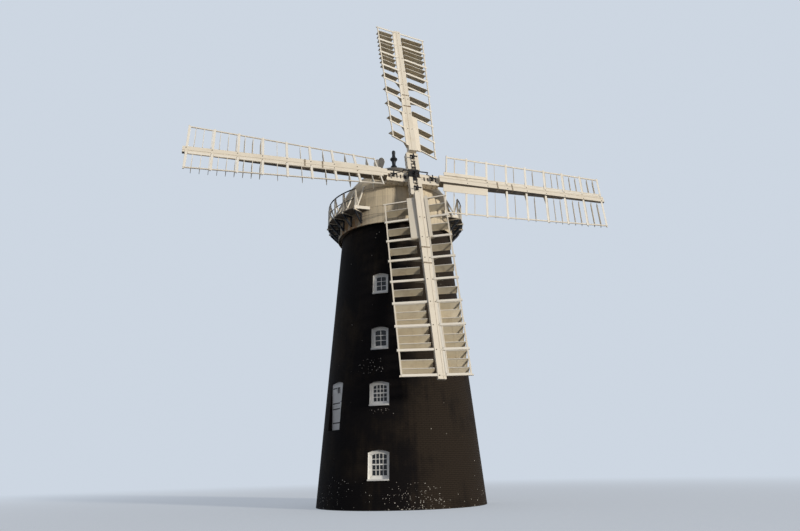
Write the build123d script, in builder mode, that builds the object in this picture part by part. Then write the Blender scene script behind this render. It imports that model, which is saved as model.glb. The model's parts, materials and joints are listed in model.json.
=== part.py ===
"""A tower windmill: a tapered round brick tower, a boarded cap with a gallery and a fantail
that turns on it, and four double-sided patent sails on an inclined windshaft.

Millimetres, +Z up. The origin is the centre of the tower's foot, on the ground. The windshaft
points towards -Y at rest. A bearing is an angle round the tower in degrees, from -Y towards +X.
"""

from build123d import *
from math import cos, degrees, radians, sin, sqrt, tan
import os

os.makedirs("parts", exist_ok=True)

# Tower wall
base_radius = 3810
wall_batter = 0.088
wall_thick = 450
tower_height = 12560
wall_names = ["front_left", "front_right", "right", "back_right", "back_left", "left"]

# Windows: sill height, width and height of each storey's opening
window_bearing = -31
window_sizes = {
    "ground": (1120, 900, 1180),
    "first": (4080, 860, 1020),
    "second": (6480, 760, 1020),
    "third": (9050, 710, 970),
}
head_rise = 0.11
reveal_depth = 110
casing_width = 55
casing_depth = 90
sill_thick = 60
sill_nose = 45
glass_thick = 6
fit_gap = 0.3

# Loading door of the first floor and the entrance door of the ground floor
loading_bearing = -72
loading_sill = 3200
loading_width = 980
loading_height = 2070
loading_split = 1040
entrance_bearing = 89
entrance_width = 1000
entrance_height = 2150
door_rise = 70
door_recess = 55
door_thick = 45
door_frame_width = 60
door_frame_depth = 110
door_gap = 6
leaf_rise = 63
strap_width = 50
strap_thick = 8
strap_share = 0.72
loading_straps = [320, 920, 1160, 1820]
entrance_straps = [330, 1750]
light_width = 240
light_height = 260
light_shift = 85
light_below_head = 160

# Floors: level of the top of each floor
floor_levels = {"ground": 150, "first": 3200, "second": 5600, "third": 8150}
floor_thick = 150

# Curb and the frame of the cap
curb_inner = 2330
curb_outer = 2660
curb_height = 140
running_gap = 0.5
cap_ring_height = 150
sheer_offset = 1000
sheer_width = 250
sheer_height = 300
sheer_front = -2400
sheer_back = 4050
breast_y = -2080
breast_size = 300
breast_drop = 90
tail_y = 1850

# Skirt of the cap
skirt_radius = 2900
skirt_bottom = 12520
skirt_top = 13380
board_thick = 32
panel_count = 12
panel_gap = 0.5
shaft_hole_gap = 60
notch_gap = 12

# Dome: radius and height of the corners of its boards, from the skirt up to the crown
lower_courses = [(2900, 13380), (2865, 13900), (2765, 14400), (2570, 14850), (2410, 15080)]
upper_courses = [(2410, 15080), (2000, 15560), (1560, 15950), (1060, 16260), (520, 16450)]
gores_per_panel = 3

# Crown plate, and the finial as radius and height over the crown plate
crown_edge = 25
crown_rise = 80
crown_neck = 150
finial_profile = [
    (150, 0), (160, 60), (120, 140), (150, 270), (165, 300), (105, 360), (95, 450), (110, 580),
    (150, 650), (190, 700), (195, 750), (150, 800), (100, 860), (85, 950), (90, 1050), (100, 1130),
    (80, 1220), (0, 1270),
]

# Gallery
gallery_radius = 3450
gallery_level = 13290
gallery_board = 40
gallery_start = 50
gallery_sectors = 10
post_start = 50
post_size = 55
post_inset = 30
rail_height = 950
rail_size = 45
middle_rail_size = 27
toe_board_height = 110
toe_board_thick = 45
joist_size = 70
joist_past = 45
bracket_width = 50
bracket_bar = 70
bracket_foot = 12640
stay_size = 35
stay_foot = 3300
stay_head = 14720

# Windshaft and sails
shaft_tilt = 15
hub_forward = 3150
hub_height = 14741
sail_turn = -0.6
arm_length = 10265
heel_radius = 1660
bay_count = 8
trailing_width = 1570
leading_width = 1165
twist_heel = 24
twist_tip = 7.4
stock_spacing = 330
shaft_radius = 165
journal_radius = 85
journal_length = 420
bearing_share = 3
shaft_tail = 2050
stock_width = 300
stock_depth = 280
stock_tip = 160
stock_reach = 0.79
clamp_width = 190
clamp_offset = 200
clamp_depth = 320
whip_width = 400
whip_tip_width = 340
whip_depth = 230
whip_tip_depth = 130
whip_start = 1300
whip_past = 150
whip_joint = 45
joint_width = 14
joint_depth = 25
bar_width = 60
bar_root_depth = 240
bar_root_share = 0.42
bar_tip_depth = 45
braced_bars = 6
hem_width = 60
hem_depth = 40
uplong_offset = 265
uplong_width = 45
bar_past = 85
board_bays = 2
board_start = 1525
board_thickness = 28
heel_board = (-550, -200)
lead_board = (255, 405)
band_bars = [2.5, 3.25]
band_length = 70
band_thick = 12

# Shutters: angle to the shaft's direction of the inner and of the outer bays on each sail
shutters_per_bay = 3
full_bays = 3
shutter_depth = 375
shutter_thick = 24
shutter_front = 30
shutter_place = 0.175
shutter_tilts = {"right": (15, 15), "top": (8, 8), "left": (15, 15), "bottom": (18, 32)}
loose_tilt = 50
shutter_end_gap = 0.8
shutter_inner_gap = 30

# Poll end and striking gear
poll_size = 480
poll_front = 250
poll_back = -450
poll_chamfer = 70
spider_reach = 600
spider_bar = 40
spider_front = 140
spider_knuckle = 130
crank_radius = 970
crank_base = 110
crank_height = 170
crank_bar = 45
crank_length = 300
crank_width = 380
link_size = 24

# Fantail
fan_y = 3520
fan_z = 17300
fan_radius = 1750
fan_blade_count = 8
fan_hub_radius = 110
fan_hub_length = 260
fan_pitch = 40
fan_spoke = 50
fan_spoke_end = 1450
blade_root = 600
blade_root_width = 150
blade_wide = 1480
blade_wide_width = 430
blade_thick = 14
fan_post_offset = 430
fan_post_size = 130
fan_post_past = 200
axle_radius = 35
brace_size = 70
brace_share = 0.3


def wall_radius(height):
    """Radius of the tower's outer face at a height above the ground."""
    return base_radius - wall_batter * height


def outward(bearing):
    """Unit vector that points away from the axis at a bearing."""
    return Vector(sin(radians(bearing)), -cos(radians(bearing)), 0)


def upright_plane(bearing):
    """Plane through the axis: local x runs outwards at the bearing, local y is up."""
    out = outward(bearing)
    return Plane(origin=(0, 0, 0), x_dir=out, z_dir=out.cross(Vector(0, 0, 1)))


def facing_plane(bearing, distance, height):
    """Plane square to a radius, seen from outside: local x to the right, local y up."""
    out = outward(bearing)
    side = Vector(cos(radians(bearing)), sin(radians(bearing)), 0)
    return Plane(origin=out * distance + Vector(0, 0, height), x_dir=side, z_dir=out)


def arched_face(width, height, rise):
    """An upright shape on the local x axis, with a shallow arch for its head."""
    half = width / 2
    with BuildSketch() as shape:
        with BuildLine():
            Polyline((-half, height - rise), (-half, 0), (half, 0), (half, height - rise))
            ThreePointArc((-half, height - rise), (0, height), (half, height - rise))
        make_face()
    return shape.sketch


def turned(plane, angle):
    """The same plane, turned about its own normal."""
    turn = radians(angle)
    return Plane(
        origin=plane.origin,
        x_dir=plane.x_dir * cos(turn) + plane.y_dir * sin(turn),
        z_dir=plane.z_dir,
    )


def tipped(plane, angle):
    """The same plane, tipped about its own x axis."""
    turn = radians(angle)
    return Plane(
        origin=plane.origin,
        x_dir=plane.x_dir,
        z_dir=plane.z_dir * cos(turn) - plane.y_dir * sin(turn),
    )


def gathered(pieces):
    """One part that holds separate pieces as they are."""
    return Part(Compound([solid for piece in pieces for solid in piece.solids()]).wrapped)


def save(part, name):
    """Label a finished piece and write its file."""
    part.label = name
    export_step(part, f"parts/{name}.step")


# Tower wall in segments, with the windows and doors cut through
segment_arc = 360 / len(wall_names)
openings = []
for sill, width, height in window_sizes.values():
    openings.append((window_bearing, sill, width, height, head_rise * width))
    openings.append((window_bearing + 180, sill, width, height, head_rise * width))
openings.append((loading_bearing, loading_sill, loading_width, loading_height, door_rise))
openings.append((entrance_bearing, floor_levels["ground"], entrance_width, entrance_height, door_rise))

for index, name in enumerate(wall_names):
    middle = window_bearing + index * segment_arc
    with BuildPart() as wall:
        with BuildSketch(upright_plane(middle - segment_arc / 2)):
            with BuildLine():
                Polyline(
                    (base_radius, 0),
                    (wall_radius(tower_height), tower_height),
                    (wall_radius(tower_height) - wall_thick, tower_height),
                    (base_radius - wall_thick, 0),
                    close=True,
                )
            make_face()
        revolve(axis=Axis.Z, revolution_arc=segment_arc)
        for bearing, sill, width, height, rise in openings:
            turn = (bearing - middle + 180) % 360 - 180
            if abs(turn) < segment_arc / 2:
                with BuildSketch(facing_plane(bearing, base_radius / 2, sill)):
                    add(arched_face(width, height, rise))
                extrude(amount=base_radius, mode=Mode.SUBTRACT)
    save(wall.part, f"wall_{name}")

# Floors that fill the inside of the tower
def floor_disc(level):
    """A floor whose edge follows the inside of the wall."""
    bottom = max(level - floor_thick, 0)
    with BuildPart() as disc:
        with BuildSketch(Plane.XZ):
            with BuildLine():
                Polyline(
                    (0, bottom),
                    (wall_radius(bottom) - wall_thick - fit_gap, bottom),
                    (wall_radius(level) - wall_thick - fit_gap, level),
                    (0, level),
                    close=True,
                )
            make_face()
        revolve(axis=Axis.Z)
    return disc.part


save(floor_disc(floor_levels["ground"]), "floor_ground")

with BuildPart() as upper_floors:
    for storey in ("first", "second", "third"):
        add(floor_disc(floor_levels[storey]))
save(upper_floors.part, "floors_upper")

# Windows: casing, sill and glass, on the front and on the back
def window_places():
    """Bearing, sill, width, height and the radius of the casing's face, for each window."""
    for sill, width, height in window_sizes.values():
        face = wall_radius(sill + height) - reveal_depth
        for bearing in (window_bearing, window_bearing + 180):
            yield bearing, sill, width, height, face


with BuildPart() as casings:
    for bearing, sill, width, height, face in window_places():
        rise = head_rise * width
        inner_width = width - 2 * casing_width
        inner_height = height - sill_thick - 2 * casing_width
        with BuildSketch(facing_plane(bearing, face, sill + sill_thick + fit_gap)):
            add(arched_face(width - 2 * fit_gap, height - sill_thick - 2 * fit_gap, rise))
        extrude(amount=-casing_depth)
        with BuildSketch(facing_plane(bearing, face, sill + sill_thick + casing_width)):
            add(arched_face(inner_width, inner_height, head_rise * inner_width))
        extrude(amount=-casing_depth, mode=Mode.SUBTRACT)
save(casings.part, "window_casings")

with BuildPart() as glass:
    for bearing, sill, width, height, face in window_places():
        inner_width = width - 2 * casing_width
        inner_height = height - sill_thick - 2 * casing_width
        foot = sill + sill_thick + casing_width + fit_gap
        with BuildSketch(facing_plane(bearing, face - casing_depth / 2, foot)):
            add(arched_face(inner_width - 2 * fit_gap, inner_height - 2 * fit_gap, head_rise * inner_width))
        extrude(amount=-glass_thick)
save(glass.part, "window_glass")

with BuildPart() as sills:
    for bearing, sill, width, height, face in window_places():
        back = face - casing_depth
        nose = wall_radius(sill) + sill_nose
        with BuildSketch(facing_plane(bearing, back, sill + fit_gap)):
            with Locations((0, (sill_thick - fit_gap) / 2)):
                Rectangle(width - 2 * fit_gap, sill_thick - fit_gap)
        extrude(amount=nose - back)
save(sills.part, "window_sills")


def door_frame(bearing, sill, width, height):
    """Posts and arched head of a doorway; returns the radius of its outer face."""
    face = wall_radius(sill + height) - door_recess
    with BuildPart() as frame:
        with BuildSketch(facing_plane(bearing, face, sill)):
            add(arched_face(width - 2 * fit_gap, height - fit_gap, door_rise))
        extrude(amount=-door_frame_depth)
        with BuildSketch(facing_plane(bearing, face, sill)):
            add(arched_face(width - 2 * door_frame_width, height - door_frame_width, leaf_rise))
        extrude(amount=-door_frame_depth, mode=Mode.SUBTRACT)
    return frame.part, face


def boarded_leaf(bearing, face, sill, width, low, high, rise):
    """One leaf between two heights above the sill, with an arched head where rise is given."""
    with BuildPart() as leaf:
        with BuildSketch(facing_plane(bearing, face - door_gap, sill + low)):
            if rise:
                add(arched_face(width, high - low, rise))
            else:
                with Locations((0, (high - low) / 2)):
                    Rectangle(width, high - low)
        extrude(amount=-door_thick)
    return leaf.part


def strap_hinges(bearing, face, sill, width, heights):
    """Iron straps across the face of a leaf, hung on the frame at its left side."""
    length = width * strap_share
    pin = door_gap - fit_gap
    with BuildPart() as straps:
        for height in heights:
            with BuildSketch(facing_plane(bearing, face - door_gap, sill + height)):
                with Locations(((length - width) / 2 - pin, 0)):
                    Rectangle(length, strap_width)
            extrude(amount=strap_thick)
    return straps.part


# Loading door of the first floor: frame, two leaves, light and hinges
loading_frame, loading_face = door_frame(loading_bearing, loading_sill, loading_width, loading_height)
save(loading_frame, "loading_door_frame")
leaf_width = loading_width - 2 * door_frame_width - 2 * door_gap
leaf_top = loading_height - door_frame_width - door_gap
save(
    boarded_leaf(loading_bearing, loading_face, loading_sill, leaf_width, fit_gap, loading_split, 0),
    "loading_door_lower_leaf",
)
light_bottom = leaf_top - light_height - light_below_head
with BuildPart() as upper_leaf:
    add(
        boarded_leaf(
            loading_bearing, loading_face, loading_sill, leaf_width,
            loading_split + door_gap, leaf_top, leaf_rise,
        )
    )
    with BuildSketch(facing_plane(loading_bearing, loading_face, loading_sill + light_bottom)):
        with Locations((light_shift, light_height / 2)):
            Rectangle(light_width, light_height)
    extrude(amount=-2 * door_thick, mode=Mode.SUBTRACT)
save(upper_leaf.part, "loading_door_upper_leaf")
light_face = loading_face - door_gap - door_thick / 2
with BuildPart() as door_light:
    with BuildSketch(facing_plane(loading_bearing, light_face, loading_sill + light_bottom)):
        with Locations((light_shift, light_height / 2)):
            Rectangle(light_width - 2 * fit_gap, light_height - 2 * fit_gap)
    extrude(amount=-glass_thick)
save(door_light.part, "loading_door_light")
loading_hinges = strap_hinges(loading_bearing, loading_face, loading_sill, leaf_width, loading_straps)
save(loading_hinges, "loading_door_hinges")

# Entrance door of the ground floor
entrance_sill = floor_levels["ground"]
entrance_frame, entrance_face = door_frame(entrance_bearing, entrance_sill, entrance_width, entrance_height)
save(entrance_frame, "entrance_door_frame")
entrance_leaf_width = entrance_width - 2 * door_frame_width - 2 * door_gap
entrance_top = entrance_height - door_frame_width - door_gap
save(
    boarded_leaf(
        entrance_bearing, entrance_face, entrance_sill, entrance_leaf_width,
        door_gap, entrance_top, leaf_rise,
    ),
    "entrance_door",
)
entrance_hinges = strap_hinges(
    entrance_bearing, entrance_face, entrance_sill, entrance_leaf_width, entrance_straps
)
save(entrance_hinges, "entrance_door_hinges")

# Curb on the top of the wall, and the ring of the cap that runs on it
curb_top = tower_height + curb_height
with BuildPart() as curb:
    with BuildSketch(Plane.XY.offset(tower_height)):
        Circle(curb_outer)
        Circle(curb_inner, mode=Mode.SUBTRACT)
    extrude(amount=curb_height)
save(curb.part, "curb")

# Windshaft line: height of the shaft's centre at a distance behind the hub point
tilt = radians(shaft_tilt)


def shaft_height(y):
    """Height of the centre line of the windshaft above the ground, at y."""
    return hub_height - (y + hub_forward) * tan(tilt)


# Frame of the cap: ring, two long sheers, breast beam on posts and tail beam
ring_bottom = curb_top + running_gap
sheer_bottom = ring_bottom + cap_ring_height
sheer_top = sheer_bottom + sheer_height
shaft_half = shaft_radius / cos(tilt)
breast_top = shaft_height(breast_y) - shaft_half - breast_drop
sheer_middle = (sheer_front + sheer_back) / 2
with BuildPart() as cap_frame:
    with BuildSketch(Plane.XY.offset(ring_bottom)):
        Circle(skirt_radius - board_thick - fit_gap)
        Circle(curb_inner, mode=Mode.SUBTRACT)
    extrude(amount=cap_ring_height)
    with BuildSketch(Plane.XY.offset(sheer_bottom)):
        with Locations((-sheer_offset, sheer_middle), (sheer_offset, sheer_middle)):
            Rectangle(sheer_width, sheer_back - sheer_front)
        with Locations((0, tail_y)):
            Rectangle(2 * sheer_offset, sheer_width)
        with Locations((0, sheer_back - sheer_width / 2)):
            Rectangle(2 * sheer_offset, sheer_width)
    extrude(amount=sheer_height)
    with BuildSketch(Plane.XY.offset(sheer_top)):
        with Locations((-sheer_offset, breast_y), (sheer_offset, breast_y)):
            Rectangle(sheer_width, breast_size)
    extrude(amount=breast_top - sheer_top)
    with BuildSketch(Plane.XY.offset(breast_top - breast_size)):
        with Locations((0, breast_y)):
            Rectangle(2 * sheer_offset + sheer_width, breast_size)
    extrude(amount=breast_size)
save(cap_frame.part, "cap_frame")

# Sail frame of reference: x and y in the plane of the sails, z forward along the shaft
shaft_ahead = Vector(0, -cos(tilt), sin(tilt))
hub_point = Vector(0, -hub_forward, hub_height)
rotor_plane = turned(Plane(origin=hub_point, x_dir=(1, 0, 0), z_dir=shaft_ahead), sail_turn)

# Bearings that carry the windshaft on the breast beam and on the tail beam
with BuildPart() as bearings:
    for place, top, length, radius in (
        (breast_y, breast_top, breast_size, shaft_radius),
        (tail_y, sheer_top, sheer_width, journal_radius),
    ):
        with BuildSketch(Plane.XY.offset(top)):
            with Locations((0, place)):
                Rectangle(bearing_share * radius, length)
        extrude(amount=shaft_height(place) - top)
        with BuildSketch(rotor_plane.offset(-(place + hub_forward) / cos(tilt) - length)):
            Circle(radius + fit_gap)
        extrude(amount=2 * length, mode=Mode.SUBTRACT)
save(bearings.part, "shaft_bearings")


def dome_radius_at(height):
    """Radius of the dome's lower boards at a height above the ground."""
    for (wide, low), (narrow, high) in zip(lower_courses, lower_courses[1:]):
        if height <= high:
            return wide + (narrow - wide) * (height - low) / (high - low)


def main_pieces(part, count):
    """The largest solids of a part, without the offcuts that a cut leaves."""
    return gathered(sorted(part.solids(), key=lambda piece: piece.volume, reverse=True)[:count])


def ring_panel(profile, start, arc):
    """One boarded panel: a profile in the upright plane, turned round the axis."""
    with BuildPart() as panel:
        with BuildSketch(upright_plane(start)):
            with BuildLine():
                profile()
            make_face()
        revolve(axis=Axis.Z, revolution_arc=arc)
    return panel.part


def skirt_profile():
    """Section of the skirt's boards."""
    inner = skirt_radius - board_thick
    Polyline(
        (inner, skirt_bottom),
        (skirt_radius, skirt_bottom),
        (skirt_radius, skirt_top),
        (inner, skirt_top),
        close=True,
    )


# Skirt of the cap, in boarded panels, notched where the sheers pass out at the back
panel_arc = 360 / panel_count
gap_angle = degrees(panel_gap / skirt_radius)
with BuildPart() as skirt:
    for index in range(panel_count):
        start = index * panel_arc - panel_arc / 2
        add(ring_panel(skirt_profile, start + gap_angle / 2, panel_arc - gap_angle))
    for side in (-1, 1):
        with Locations((side * sheer_offset, skirt_radius, (sheer_bottom + sheer_top) / 2)):
            Box(
                sheer_width + notch_gap, skirt_radius / 2, sheer_height + notch_gap,
                mode=Mode.SUBTRACT,
            )
save(skirt.part, "cap_skirt")

# Dome: flat boards between upright edges, in a lower and an upper ring of panels
def boards_section(bearing, courses):
    """Section of the dome's boards on an upright plane, with their thickness inwards."""
    inner = [(radius - board_thick, height) for radius, height in courses]
    with BuildSketch(upright_plane(bearing)) as section:
        with BuildLine():
            Polyline(*courses, *reversed(inner), close=True)
        make_face()
    return section.sketch


def dome_panel(index, courses):
    """One boarded panel of the dome, a few flat gores wide."""
    turn = (panel_arc - gap_angle) / gores_per_panel
    start = index * panel_arc - panel_arc / 2 + gap_angle / 2
    with BuildPart() as panel:
        for gore in range(gores_per_panel):
            edges = [start + (gore + side) * turn for side in (0, 1)]
            loft([boards_section(edge, courses).face() for edge in edges], ruled=True)
    return panel.part


def dome_ring(courses):
    """A ring of boarded panels between two heights of the dome."""
    return gathered([dome_panel(index, courses) for index in range(panel_count)])


with BuildPart() as dome_lower:
    add(dome_ring(lower_courses))
    with BuildSketch(rotor_plane):
        Circle(shaft_radius + shaft_hole_gap)
    extrude(amount=-hub_forward, mode=Mode.SUBTRACT)
save(dome_lower.part, "dome_lower")
save(dome_ring([(radius, height + fit_gap) for radius, height in upper_courses]), "dome_upper")

# Crown plate on the top of the dome, and the finial that stands on it
crown_radius, crown_base = upper_courses[-1]
crown_bottom = crown_base + 2 * fit_gap
finial_base = crown_bottom + crown_rise
with BuildPart() as crown:
    with BuildSketch(Plane.XZ):
        with BuildLine():
            Polyline(
                (0, crown_bottom), (crown_radius, crown_bottom), (crown_radius, crown_bottom + crown_edge),
                (crown_neck, finial_base), (0, finial_base), close=True,
            )
        make_face()
    revolve(axis=Axis.Z)
save(crown.part, "crown_plate")

with BuildPart() as finial:
    with BuildSketch(Plane.XZ):
        with BuildLine():
            Polyline((0, finial_base), *[(r, finial_base + h) for r, h in finial_profile], close=True)
        make_face()
    revolve(axis=Axis.Z)
save(finial.part, "finial")

# Gallery floor round the sides and the back of the cap
gallery_arc = (360 - 2 * gallery_start) / gallery_sectors
floor_inner = skirt_radius + fit_gap


def gallery_profile():
    """Section of the gallery's floor boards."""
    Polyline(
        (floor_inner, gallery_level - gallery_board),
        (gallery_radius, gallery_level - gallery_board),
        (gallery_radius, gallery_level),
        (floor_inner, gallery_level),
        close=True,
    )


# The floor's two front ends are cut square to the line of the shaft
end_y = -gallery_radius * cos(radians(gallery_start))
end_x = gallery_radius * sin(radians(gallery_start))
end_start = sqrt(skirt_radius ** 2 - end_y ** 2)
with BuildPart() as gallery_floor:
    for index in range(gallery_sectors):
        start = gallery_start + index * gallery_arc
        add(ring_panel(gallery_profile, start + gap_angle / 2, gallery_arc - gap_angle))
    for side in (-1, 1):
        edge = outward(side * gallery_start)
        inner_end = edge * skirt_radius - Vector(0, panel_gap, 0)
        outer_end = edge * gallery_radius - Vector(0, panel_gap, 0)
        front_end = Vector(side * end_start, end_y, 0)
        with BuildSketch(Plane.XY.offset(gallery_level - gallery_board)):
            with BuildLine():
                Polyline(inner_end, outer_end, front_end, close=True)
            make_face()
            Circle(floor_inner, mode=Mode.SUBTRACT)
        extrude(amount=gallery_board)
save(gallery_floor.part, "gallery_floor")

# Joists and brackets below the floor, at the same bearings as the posts above it
post_count = 2 * gallery_sectors + 1
post_step = (360 - 2 * post_start) / (post_count - 1)
post_bearings = [post_start + index * post_step for index in range(post_count)]
joist_top = gallery_level - gallery_board - fit_gap
joist_length = gallery_radius + joist_past - floor_inner


def make_joist(bearing):
    """A joist from the skirt out to just past the rail."""
    with BuildPart() as joist:
        with BuildSketch(upright_plane(bearing).offset(-joist_size / 2)):
            with Locations((floor_inner + joist_length / 2, joist_top - joist_size / 2)):
                Rectangle(joist_length, joist_size)
        extrude(amount=joist_size)
    return joist.part


save(gathered([make_joist(bearing) for bearing in post_bearings]), "gallery_joists")

bracket_top = joist_top - joist_size - fit_gap
bracket_reach = gallery_radius - post_inset


def make_bracket(bearing):
    """An open triangular bracket on the skirt, under a joist."""
    inner = floor_inner + bracket_bar
    with BuildPart() as bracket:
        with BuildSketch(upright_plane(bearing).offset(-bracket_width / 2)):
            with BuildLine():
                Polyline(
                    (floor_inner, bracket_foot), (inner, bracket_foot),
                    (bracket_reach, bracket_top - bracket_bar), (bracket_reach, bracket_top),
                    (floor_inner, bracket_top), close=True,
                )
            make_face()
            with BuildLine():
                Polyline(
                    (inner, bracket_foot + 2 * bracket_bar),
                    (bracket_reach - 2 * bracket_bar, bracket_top - bracket_bar),
                    (inner, bracket_top - bracket_bar), close=True,
                )
            make_face(mode=Mode.SUBTRACT)
        extrude(amount=bracket_width)
    return bracket.part


save(gathered([make_bracket(bearing) for bearing in post_bearings]), "gallery_brackets")

# Railing of posts, a top rail and a middle rail, with a toe board across each front end
post_radius = gallery_radius - post_inset - post_size / 2
with BuildPart() as railing:
    for bearing in post_bearings:
        out = outward(bearing)
        foot = out * post_radius + Vector(0, 0, gallery_level + fit_gap)
        with BuildSketch(Plane(origin=foot, x_dir=out, z_dir=(0, 0, 1))):
            Rectangle(post_size, post_size)
        extrude(amount=rail_height)
    with BuildSketch(upright_plane(post_start)):
        with Locations((post_radius, gallery_level + rail_height + rail_size / 2)):
            Rectangle(rail_size, rail_size)
        with Locations((post_radius, gallery_level + rail_height / 2)):
            Rectangle(middle_rail_size, middle_rail_size)
    revolve(axis=Axis.Z, revolution_arc=360 - 2 * post_start)
    with BuildSketch(Plane.XY.offset(gallery_level + fit_gap)):
        for side in (-1, 1):
            with Locations((side * (end_start + end_x) / 2, end_y + toe_board_thick)):
                Rectangle(end_x - end_start, toe_board_thick)
        Circle(floor_inner, mode=Mode.SUBTRACT)
    extrude(amount=toe_board_height)
save(railing.part, "gallery_railing")


def strut(start, end, size):
    """A square bar between two points, with one pair of its faces upright."""
    line = end - start
    with BuildPart() as bar:
        with BuildSketch(Plane(origin=start, x_dir=line.cross(Vector(0, 0, 1)), z_dir=line)):
            Rectangle(size, size)
        extrude(amount=line.length)
    return bar.part


def make_stay(bearing):
    """A stay from the gallery's floor up to the dome, inside the post at a bearing."""
    out = outward(bearing)
    foot = out * stay_foot + Vector(0, 0, gallery_level + fit_gap)
    head = out * (dome_radius_at(stay_head) - board_thick) + Vector(0, 0, stay_head)
    with BuildPart() as stay:
        add(strut(foot - (head - foot).normalized() * stay_size, head, stay_size))
        with BuildSketch(Plane.XY.offset(gallery_level + fit_gap)):
            Circle(skirt_radius + gallery_radius)
        extrude(amount=-2 * stay_size, mode=Mode.SUBTRACT)
        add(dome_lower.part, mode=Mode.SUBTRACT)
    return main_pieces(stay.part, 1)


save(gathered([make_stay(bearing) for bearing in post_bearings]), "gallery_stays")


# Sails
def sail_plane(angle):
    """Plane of one sail: x out along its arm, y towards its leading side, z forward."""
    return turned(rotor_plane, angle)


sail_angles = {"right": 0, "top": 90, "left": 180, "bottom": 270}
sail_forward = {"right": 0, "left": 0, "top": stock_spacing, "bottom": stock_spacing}
whip_back = -whip_depth / 2
stock_middle = whip_back - fit_gap - stock_depth / 2
bay_length = (arm_length - heel_radius) / bay_count
shutter_pitch = bay_length / shutters_per_bay


def twist_at(radius):
    """Angle of the sail's surface to the plane of rotation, in degrees."""
    share = (radius - heel_radius) / (arm_length - heel_radius)
    return twist_heel + (twist_tip - twist_heel) * share


def surface_plane(sail, radius):
    """Plane square to the arm: local x lies in the sail's surface, to the leading side."""
    turn = radians(twist_at(radius))
    along = sail.x_dir
    across = sail.y_dir * cos(turn) + sail.z_dir * sin(turn)
    return Plane(origin=sail.origin + along * radius, x_dir=across, z_dir=along)


def taper(start, end, radius):
    """A size that changes evenly from the shaft to the tip of the arm."""
    return start + (end - start) * radius / arm_length


# Windshaft with its tail journal, and the poll end that holds the stocks
shaft_end = -(shaft_tail + hub_forward) / cos(tilt)
with BuildPart() as windshaft:
    with BuildSketch(rotor_plane.offset(shaft_end + journal_length)):
        Circle(shaft_radius)
    extrude(amount=poll_back - shaft_end - journal_length)
    with BuildSketch(rotor_plane.offset(shaft_end)):
        Circle(journal_radius)
    extrude(amount=journal_length)
save(windshaft.part, "windshaft")

with BuildPart() as poll_end:
    with BuildSketch(rotor_plane.offset(poll_back)):
        Rectangle(poll_size, poll_size)
    extrude(amount=poll_front - poll_back)
    long_edges = poll_end.edges().filter_by(lambda edge: abs(edge.tangent_at(0).dot(shaft_ahead)) > 0.99)
    chamfer(long_edges, poll_chamfer)
    for angle, forward in ((0, 0), (90, stock_spacing)):
        middle = forward + stock_middle
        sail = sail_plane(angle)
        sleeve = Plane(origin=sail.origin + sail.z_dir * middle, x_dir=sail.y_dir, z_dir=sail.x_dir)
        with BuildSketch(sleeve.offset(-poll_size)):
            Rectangle(stock_width + fit_gap * 2, stock_depth + fit_gap * 2)
        extrude(amount=2 * poll_size, mode=Mode.SUBTRACT)
save(poll_end.part, "poll_end")


def tapered_beam(sail, face, side, start, end, widths, depths):
    """A beam along an arm between two radii. Its flat face has a height over the sail's plane,
    the beam lies to the side, 1 or -1, of it, and each end has its own width and depth."""
    with BuildPart() as beam:
        for radius, width, depth in zip((start, end), widths, depths):
            origin = sail.origin + sail.x_dir * radius + sail.z_dir * (face + side * depth / 2)
            with BuildSketch(Plane(origin=origin, x_dir=sail.y_dir, z_dir=sail.x_dir)):
                Rectangle(width, depth)
        loft()
    return beam.part


stock_end = arm_length * stock_reach
stocks = {}
for name, angle, forward in (("stock_horizontal", 0, 0), ("stock_vertical", 90, stock_spacing)):
    sail = sail_plane(angle)
    with BuildPart() as stock:
        for way in (1, -1):
            add(
                tapered_beam(
                    sail, forward + whip_back - fit_gap, -1, 0, way * stock_end,
                    (stock_width, stock_tip), (stock_depth, stock_tip),
                )
            )
    stocks[name] = stock.part
    save(stock.part, name)

# Clamps on both flanks of each stock, from the poll end out to the whips
clamp_start = poll_size / 2 + fit_gap
clamp_length = whip_start - fit_gap - clamp_start
with BuildPart() as clamps:
    for angle, forward in ((0, 0), (90, stock_spacing)):
        sail = sail_plane(angle).offset(forward + stock_middle)
        for way in (1, -1):
            for side in (1, -1):
                middle = sail.x_dir * (clamp_start + clamp_length / 2) * way
                origin = sail.origin + middle + sail.y_dir * side * clamp_offset
                with Locations(Plane(origin=origin, x_dir=sail.x_dir, z_dir=sail.z_dir)):
                    Box(clamp_length, clamp_width, clamp_depth)
    for stock_piece in stocks.values():
        add(stock_piece, mode=Mode.SUBTRACT)
save(clamps.part, "stock_clamps")


def make_whip(sail):
    """The timber that carries one sail's frame, with the joint of its two planks in its face."""
    whip_end = arm_length + whip_past
    half = whip_depth / 2
    tip_face = whip_tip_depth - half
    with BuildPart() as whip:
        add(
            tapered_beam(
                sail, whip_back, 1, whip_start, whip_end,
                (whip_width, whip_tip_width), (whip_depth, whip_tip_depth),
            )
        )
        with BuildSketch(Plane(origin=sail.origin, x_dir=sail.x_dir, z_dir=sail.y_dir).offset(whip_joint)):
            with BuildLine():
                Polyline(
                    (whip_start, -half), (whip_end, -tip_face),
                    (whip_end, joint_depth - tip_face), (whip_start, joint_depth - half), close=True,
                )
            make_face()
        extrude(amount=joint_width, mode=Mode.SUBTRACT)
    return whip.part


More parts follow.
